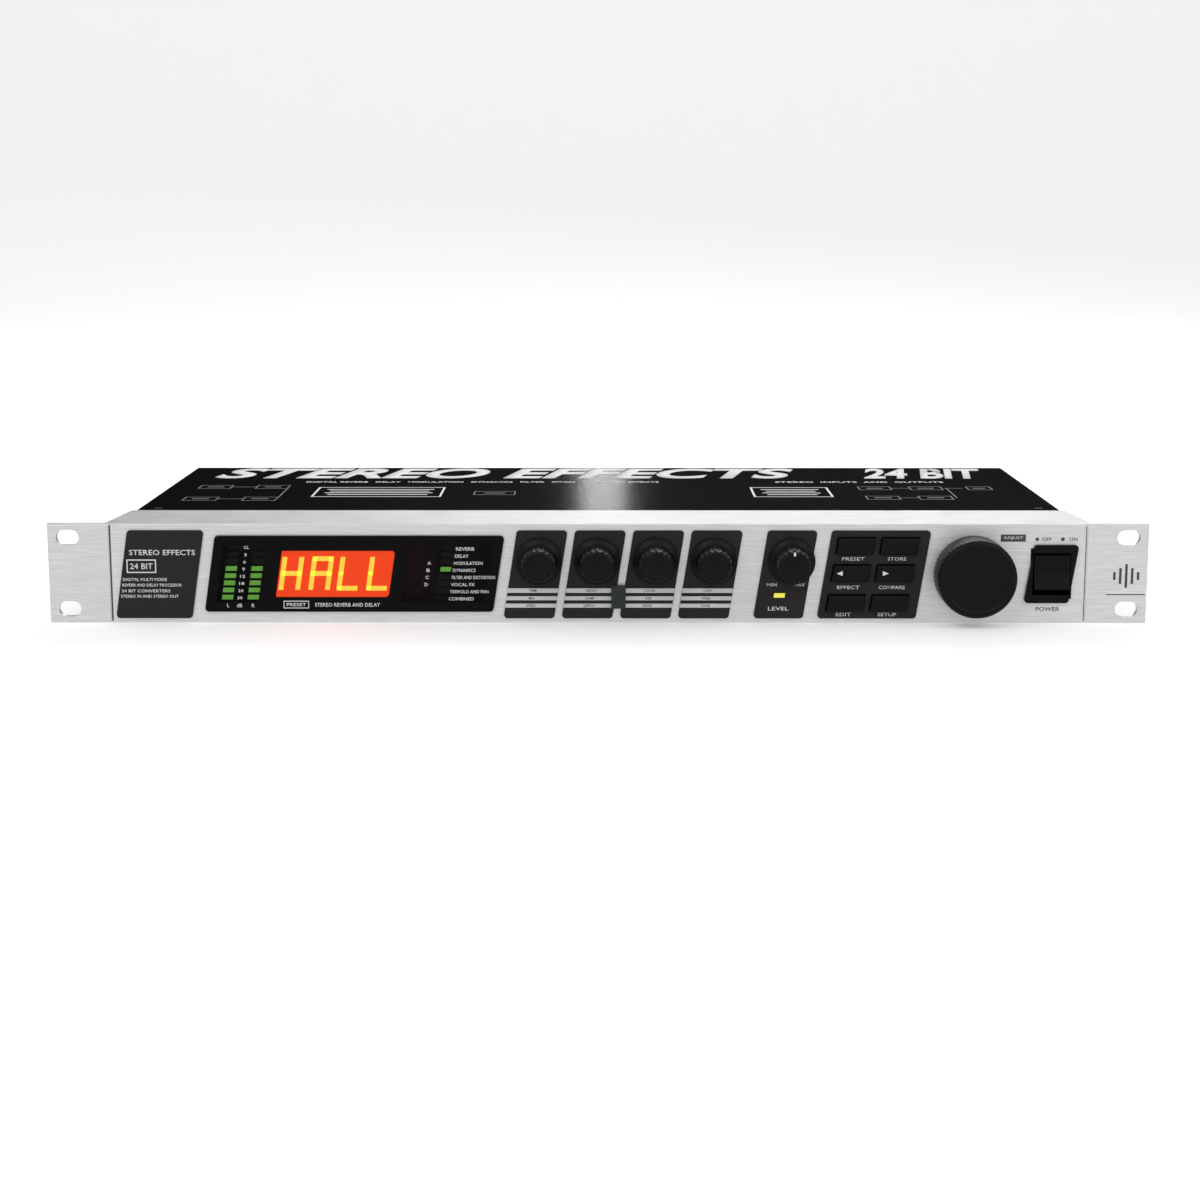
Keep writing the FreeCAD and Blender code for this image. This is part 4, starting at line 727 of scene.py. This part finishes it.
# radius and distance forward of the wheel's back
WHEEL_PROFILE = (
    (0, 0.0), (wheel_radius - 0.7, 0.0), (wheel_radius, 0.5), (wheel_radius, wheel_depth - 2.2),
    (wheel_radius - 0.25, wheel_depth - 1.2), (wheel_radius - 0.9, wheel_depth - 0.4),
    (wheel_radius - 1.7, wheel_depth), (wheel_radius - 2.6, wheel_depth),
    (wheel_radius - 3.2, wheel_depth - 0.45), (wheel_radius - 4.2, wheel_depth - 0.55),
    (8.0, wheel_depth - 0.45), (0, wheel_depth - 0.4),
)
wheel = turned("data_wheel_body", WHEEL_PROFILE, wheel_centre, knob_black, WHEEL_SIDES, WHEEL_RIBS,
               RIB_DEPTH, WHEEL_RIBBED)
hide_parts("data_wheel")
keep(wheel, "wheel_control")

# ---- Power switch
# A moulded black frame snapped in the panel, and a rocker on a cross pin, which stands
# with its top pressed in.  Both keep the frame's own shapes.
switch_black = finish("switch_black", (0.004, 0.004, 0.004), 0.36, grain=2000, bump=0.12, tint=0.1,
                      shine=0.12)
paint(switch_black, "power_switch_housing", "power_rocker")

# ---- Inside
# Boards, parts and wires that show only through the openings: green boards, black chips,
# sleeved capacitors, a shell transformer, a finned sink, and covered mains leads.
paint(finish("front_board_mask", (0.008, 0.010, 0.010), 0.5, grain=900, tint=0.2), "front_board")
paint(finish("board_green", (0.015, 0.12, 0.05), 0.4, grain=700, tint=0.2), "main_board",
      "power_supply_board")
paint(finish("stem_plastic", (0.03, 0.03, 0.032), 0.5, grain=1500), "tact_switches",
      "level_switch_bodies")
paint(finish("brass", (0.70, 0.52, 0.22), 0.3, 1.0, grain=1200), "board_standoffs")
paint(finish("zinc_screw", (0.60, 0.60, 0.58), 0.3, 1.0, grain=1800), "board_screws")
paint(finish("chip_black", (0.02, 0.02, 0.022), 0.55, grain=2500), "board_chips")
paint(finish("can_sleeve", (0.015, 0.02, 0.06), 0.35, grain=800), "board_capacitors")
paint(finish("core_steel", (0.32, 0.31, 0.30), 0.45, 0.9, grain=900, stretch=(1, 1, 8)),
      "transformer")
paint(finish("sink_black", (0.03, 0.03, 0.032), 0.45, 0.6, grain=1200), "heat_sink")
paint(finish("fuse_glass", (0.75, 0.78, 0.78), 0.15, grain=600), "fuse")
paint(finish("lead_cover", (0.10, 0.09, 0.08), 0.5, grain=900), "mains_wires")
paint(finish("flat_cable", (0.45, 0.45, 0.44), 0.5, grain=300, stretch=(12, 1, 1), tint=0.2),
      "ribbon_cable")

# ---- Screws
# Black cross-head machine screws: three in the cover's rear lip, two in its sides, two in
# its top, and fourteen in the rear panel, most in pairs at a socket.  Short shanks run in.
HEAD_SIDES, SHANK_SIDES = 32, 16
# shares of the head's radius, as the head is grown at a radius of one
HEAD_CROWN, CROSS_SPAN = 0.72, 1.15
screw_black = finish("screw_black", (0.03, 0.03, 0.032), 0.38, 0.6, grain=2500, tint=0.12)


def cross_screw_tree():
    """Heads with a cut cross, and shanks, on points that carry their turn and head radius."""
    tree = bpy.data.node_groups.new("cross_screws", "GeometryNodeTree")
    face = tree.interface
    face.new_socket("Geometry", in_out="INPUT", socket_type="NodeSocketGeometry")
    for name in ("Head Height", "Shank Radius", "Shank Length", "Cross Width", "Cross Depth"):
        face.new_socket(name, in_out="INPUT", socket_type="NodeSocketFloat")
    face.new_socket("Material", in_out="INPUT", socket_type="NodeSocketMaterial")
    face.new_socket("Geometry", in_out="OUTPUT", socket_type="NodeSocketGeometry")
    nodes, links = tree.nodes, tree.links
    start, end = nodes.new("NodeGroupInput"), nodes.new("NodeGroupOutput")
    head = nodes.new("GeometryNodeMeshCone")
    head.inputs["Vertices"].default_value = HEAD_SIDES
    head.inputs["Radius Top"].default_value = HEAD_CROWN
    head.inputs["Radius Bottom"].default_value = 1.0
    links.new(start.outputs["Head Height"], head.inputs["Depth"])
    cut = nodes.new("GeometryNodeMeshBoolean")
    cut.operation = "DIFFERENCE"
    links.new(head.outputs["Mesh"], cut.inputs["Mesh 1"])
    for across in (True, False):
        slot = nodes.new("GeometryNodeMeshCube")
        size = nodes.new("ShaderNodeCombineXYZ")
        long, thin = ("X", "Y") if across else ("Y", "X")
        size.inputs[long].default_value = CROSS_SPAN
        links.new(start.outputs["Cross Width"], size.inputs[thin])
        links.new(start.outputs["Cross Depth"], size.inputs["Z"])
        links.new(size.outputs["Vector"], slot.inputs["Size"])
        raised = nodes.new("GeometryNodeTransform")
        lift = nodes.new("ShaderNodeCombineXYZ")
        links.new(start.outputs["Head Height"], lift.inputs["Z"])
        links.new(lift.outputs["Vector"], raised.inputs["Translation"])
        links.new(slot.outputs["Mesh"], raised.inputs["Geometry"])
        links.new(raised.outputs["Geometry"], cut.inputs["Mesh 2"])
    shank = nodes.new("GeometryNodeMeshCylinder")
    shank.inputs["Vertices"].default_value = SHANK_SIDES
    links.new(start.outputs["Shank Radius"], shank.inputs["Radius"])
    links.new(start.outputs["Shank Length"], shank.inputs["Depth"])
    half_down = nodes.new("ShaderNodeMath")
    half_down.operation = "MULTIPLY"
    half_down.inputs[1].default_value = -0.5
    links.new(start.outputs["Shank Length"], half_down.inputs[0])
    sink = nodes.new("ShaderNodeCombineXYZ")
    links.new(half_down.outputs["Value"], sink.inputs["Z"])
    lowered = nodes.new("GeometryNodeTransform")
    links.new(sink.outputs["Vector"], lowered.inputs["Translation"])
    links.new(shank.outputs["Mesh"], lowered.inputs["Geometry"])
    both = nodes.new("GeometryNodeJoinGeometry")
    links.new(lowered.outputs["Geometry"], both.inputs["Geometry"])
    links.new(cut.outputs["Mesh"], both.inputs["Geometry"])
    spread = nodes.new("GeometryNodeInstanceOnPoints")
    links.new(start.outputs["Geometry"], spread.inputs["Points"])
    links.new(both.outputs["Geometry"], spread.inputs["Instance"])
    for key, kind, socket in (("turn", "FLOAT_VECTOR", "Rotation"), ("head_radius", "FLOAT", "Scale")):
        carried = nodes.new("GeometryNodeInputNamedAttribute")
        carried.data_type = kind
        carried.inputs["Name"].default_value = key
        links.new(carried.outputs["Attribute"], spread.inputs[socket])
    real = nodes.new("GeometryNodeRealizeInstances")
    links.new(spread.outputs["Instances"], real.inputs["Geometry"])
    coat = nodes.new("GeometryNodeSetMaterial")
    links.new(real.outputs["Geometry"], coat.inputs["Geometry"])
    links.new(start.outputs["Material"], coat.inputs["Material"])
    links.new(coat.outputs["Geometry"], end.inputs["Geometry"])
    return tree


def grow(name, points, tree, carried, **settings):
    """A piece grown by a tree from points in mm; settings are its named inputs.

    carried gives, for each attribute that the points bring, its kind, its field and values.
    """
    mesh = bpy.data.meshes.new(name)
    mesh.from_pydata([Vector(p) * MM for p in points], [], [])
    for key, (kind, field, values) in carried.items():
        layer = mesh.attributes.new(key, kind, "POINT")
        for item, value in zip(layer.data, values):
            setattr(item, field, value)
    piece = new_piece(name, mesh)
    modifier = piece.modifiers.new("grow", "NODES")
    modifier.node_group = tree
    for item in tree.interface.items_tree:
        if item.in_out == "INPUT" and item.name in settings:
            modifier[item.identifier] = settings[item.name]
    return settle(piece)


QUARTER = math.pi / 2
# the turn that carries +Z to the outside of each face
FACING = {"rear": (-QUARTER, 0, 0), "top": (0, 0, 0), "left": (0, -QUARTER, 0),
          "right": (0, QUARTER, 0)}
# each screw: the foot of its head, the face it stands on, its head's radius
REAR_Y = 106
CASE_SCREWS = [
    ((-204, REAR_Y, 37), "rear", 3.0), ((0, REAR_Y, 37), "rear", 3.0),
    ((204, REAR_Y, 37), "rear", 3.0),
    ((-211.4, -70, 22), "left", 4.2), ((211.4, -70, 22), "right", 4.2),
    ((-202, -43, 43.1), "top", 2.6), ((202, -43, 43.1), "top", 2.6),
]
PANEL_SCREW_PLACES = ((153.5, 9.8), (84.0, 9.8), (76.1, 28.4), (-26.1, 28.4))
PANEL_SCREW_RADIUS, INLET_SCREW_RADIUS = 2.3, 2.2
INLET_MIDDLE, INLET_SCREW_ASIDE = (182.8, 107.3, 17.2), 18
SOCKET_Z = 16.9
XLR_SOCKETS = (
    # middles of two sockets, then how far their screws stand aside and up or down
    ((-43.8, -132.0), 10, 10),
    ((-103.8, -192.0), 9.8, 11.4),
)
CONNECTOR_SCREWS = [((x, REAR_Y, z), "rear", PANEL_SCREW_RADIUS) for x, z in PANEL_SCREW_PLACES]
for middles, aside, up in XLR_SOCKETS:
    for x in middles:
        for way in (-1, 1):
            place = (x + way * aside, REAR_Y, SOCKET_Z + way * up)
            CONNECTOR_SCREWS.append((place, "rear", PANEL_SCREW_RADIUS))
for way in (-1, 1):
    x, y, z = INLET_MIDDLE
    CONNECTOR_SCREWS.append(((x + way * INLET_SCREW_ASIDE, y, z), "rear", INLET_SCREW_RADIUS))
screw_tree = cross_screw_tree()
for name, screws, height in (("case_screw", CASE_SCREWS, 0.4),
                             ("connector_screw", CONNECTOR_SCREWS, 0.45)):
    places = [place for place, _, _ in screws]
    carried = {"turn": ("FLOAT_VECTOR", "vector", [FACING[face] for _, face, _ in screws]),
               "head_radius": ("FLOAT", "value", [radius * MM for _, _, radius in screws])}
    heads = grow(name + "_heads", places, screw_tree, carried, **{
        "Head Height": height, "Shank Radius": 0.5, "Shank Length": 1.2, "Cross Width": 0.2,
        "Cross Depth": 0.5, "Material": screw_black})
    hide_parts(name + "s")
    keep(heads, "chassis")

# ---- Cover print
# White print on the black cover: large words along its rear edge, two outlined notes,
# and a thin grey block diagram of the signal path.
COVER_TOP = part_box("top_cover")[1][2] / MM
cover_print = Print("top", COVER_TOP)
BIG_WORDS = dict(b=83, height=40, weight=0.035, slant=0.3)
cover_print.words("STEREO EFFECTS", -47, width=296, **BIG_WORDS)
cover_print.words("24 BIT", 166, width=64, **BIG_WORDS)
SMALL_WORDS = dict(b=49, height=4.5)
cover_print.words("DIGITAL REVERB   DELAY   MODULATION   DYNAMICS   FILTER   PITCH   COMBINED EFFECTS",
                  -58, width=176, **SMALL_WORDS)
cover_print.words("STEREO  INPUTS  AND  OUTPUTS", 130, width=84, **SMALL_WORDS)
NOTES = ((-106, 62), (93, 38))
NOTE_LINES, NOTE_PITCH, NOTE_TOP = 4, 6, 21
for x, width in NOTES:
    cover_print.frame(x, 12, width, 34, 1.0)
    for step in range(NOTE_LINES):
        cover_print.bar(x, NOTE_TOP - step * NOTE_PITCH, width - 10 - 4 * (step % 2), 1.6)
diagram = Print("top", COVER_TOP)
DIAGRAM_BLOCKS = (
    # middle of each block, across and along, then its width
    (-188, 30, 16), (-160, 30, 16), (-188, -12, 16), (-160, -12, 16), (-50, 8, 20),
    (135, 26, 16), (160, 26, 16), (186, 26, 12), (135, -8, 16), (160, -8, 16),
)
DIAGRAM_LINE, BLOCK_DEPTH = 0.5, 12
for x, y, width in DIAGRAM_BLOCKS:
    diagram.frame(x, y, width, BLOCK_DEPTH, DIAGRAM_LINE)
    diagram.bar(x, y, width * 0.5, 1.4)
LINKS_ACROSS = ((-174, 30, 12), (-174, -12, 12), (147.5, 26, 9), (173.5, 26, 9), (147.5, -8, 9))
LINKS_ALONG = ((-152, 9, 42), (170, 9, 34))
for x, y, width in LINKS_ACROSS:
    diagram.bar(x, y, width, DIAGRAM_LINE)
for x, y, height in LINKS_ALONG:
    diagram.bar(x, y, DIAGRAM_LINE, height)
diagram.done("cover_diagram", finish("grey_ink", (0.22, 0.22, 0.22), 0.6, grain=2500), "chassis")
cover_print.done("cover_print", finish("cover_ink", (0.78, 0.78, 0.78), 0.55, grain=2500), "chassis")

# ---- Rear panel print
# White print on the black rear panel: a name above or below each socket, a plate frame
# for the maker's numbers, and short lines that stand for the small text.
rear_print = Print("rear", REAR_Y)
rear_words = Print("rear", REAR_Y + Print.THICK)
# names of the three DIN sockets: two dark on white, one white in a frame
DIN_NAME_Z, DIN_NAME_HEIGHT, DIN_BOX_HEIGHT = 28.9, 2.2, 4.2
for x, text in ((140.6, "OUT"), (119.2, "THRU")):
    rear_print.bar(x, DIN_NAME_Z, 16.9, DIN_BOX_HEIGHT)
    rear_words.words(text, x, DIN_NAME_Z, DIN_NAME_HEIGHT)
rear_print.frame(97.9, DIN_NAME_Z, 17.2, DIN_BOX_HEIGHT, 0.4)
rear_print.words("IN", 97.9, DIN_NAME_Z, DIN_NAME_HEIGHT)
# a tall narrow note outside the inlet
INLET_NOTE_X = 208.5
rear_print.frame(INLET_NOTE_X, 16.4, 2.2, 17.0, 0.25)
for step in range(5):
    rear_print.bar(INLET_NOTE_X, 10.4 + step * 3, 1.2, 1.6)
SIDE_LINES = (("DIGITAL", 13), ("STEREO EFFECTS", 16), ("24 BIT UNIT", 19), ("LINE LEVEL", 22),
              ("BALANCED IN", 14), ("BALANCED OUT", 17))
SIDE_LEFT, SIDE_TOP, SIDE_PITCH = 80.2, 24.0, 3.4
for step, (text, width) in enumerate(SIDE_LINES):
    rear_print.words(text, SIDE_LEFT, SIDE_TOP - step * SIDE_PITCH, 1.9, width, "LEFT")
# two blocks of a heading over three ragged lines
for block, low_z in enumerate((16.2, 6.4)):
    rear_print.bar(38.6, low_z + 7.4, 18.6, 2.0)
    for step in range(3):
        indent = (step + block) % 3
        rear_print.bar(33.6 + indent, low_z + 4.4 - step * 2.0, 28.2 - 2 * indent, 0.8)
NUMBER_PLATE_X = -6.1
rear_print.frame(NUMBER_PLATE_X, 14.8, 47.4, 18.6, 0.45)
rear_print.bar(NUMBER_PLATE_X, 13.2, 46.6, 0.45)
rear_print.words("SERIAL NUMBER", NUMBER_PLATE_X, 18.6, 1.9, 24)
rear_print.words("DATE CODE", NUMBER_PLATE_X, 9.4, 1.9, 15)
FOOT_Z, FOOT_BAR = 2.0, 2.2
for x in (136.3, 102.0):
    rear_print.bar(x, FOOT_Z, 23.5, FOOT_BAR)
rear_print.words("DATA", 119.5, FOOT_Z, 2.3, 8)
CHANNEL_PITCH = -88.2
FOOT_BARS = ((-34.9, 4.0), (-76.2, 22.6), (-113.9, 3.6))
FOOT_NAMES = (("OUTPUT", -50.6, 24), ("INPUT", -100.0, 21))
CHANNEL_WORDS = (
    # words, place across and up, height and width
    ("OPERATING LEVEL", -56.4, 29.4, 1.7, 21), ("OUTPUTS AND INPUTS", -56.4, 27.2, 1.7, 18),
    ("PRESSED", -59.6, 24.2, 1.6, 9), ("RELEASED", -60.6, 19.4, 1.6, 11),
    ("LINE", -84.4, 29.4, 1.7, 9), ("LEVEL", -84.4, 27.2, 1.7, 9),
    ("+4", -83.8, 24.4, 1.7, 3), ("-10", -83.8, 19.8, 1.7, 4),
)
SETTING_X = -79.2
for number in (0, 1):
    shift = number * CHANNEL_PITCH
    for x, width in FOOT_BARS:
        rear_print.bar(x + shift, FOOT_Z, width, FOOT_BAR)
    for text, x, width in FOOT_NAMES:
        rear_print.words(f"{text} {2 - number}", x + shift, FOOT_Z, 2.4, width)
    for text, x, z, height, width in CHANNEL_WORDS:
        rear_print.words(text, x + shift, z, height, width)
    rear_print.bar(SETTING_X + shift, 24.4, 1.0, 1.0)
    rear_print.frame(SETTING_X + shift, 19.8, 1.2, 1.2, 0.25)
rear_print.done("rear_print", finish("rear_ink", (0.62, 0.62, 0.61), 0.6, grain=2500), "chassis")
rear_words.done("rear_dark_words", dark_ink_and_shade, "chassis")

# ---- Sockets
# Black moulded connectors with plated pins, fixed through the rear panel; bright ring nuts
# hold the jacks.  The level buttons and the fuse drawer are the same black plastic.
socket_black = finish("socket_black", (0.009, 0.009, 0.010), 0.34, grain=1800, bump=0.12, tint=0.1,
                      shine=0.4)
paint(socket_black, "iec_inlet", "fuse_drawer", "xlr_output_sockets", "xlr_input_sockets",
      "din_sockets", "jack_sockets", "level_button_1", "level_button_2")
bright_nickel = finish("bright_nickel", (0.86, 0.85, 0.83), 0.20, 0.5, grain=1200, stretch=(1, 8, 1))
paint(bright_nickel, "jack_nuts", "iec_pins", "xlr_output_pins")
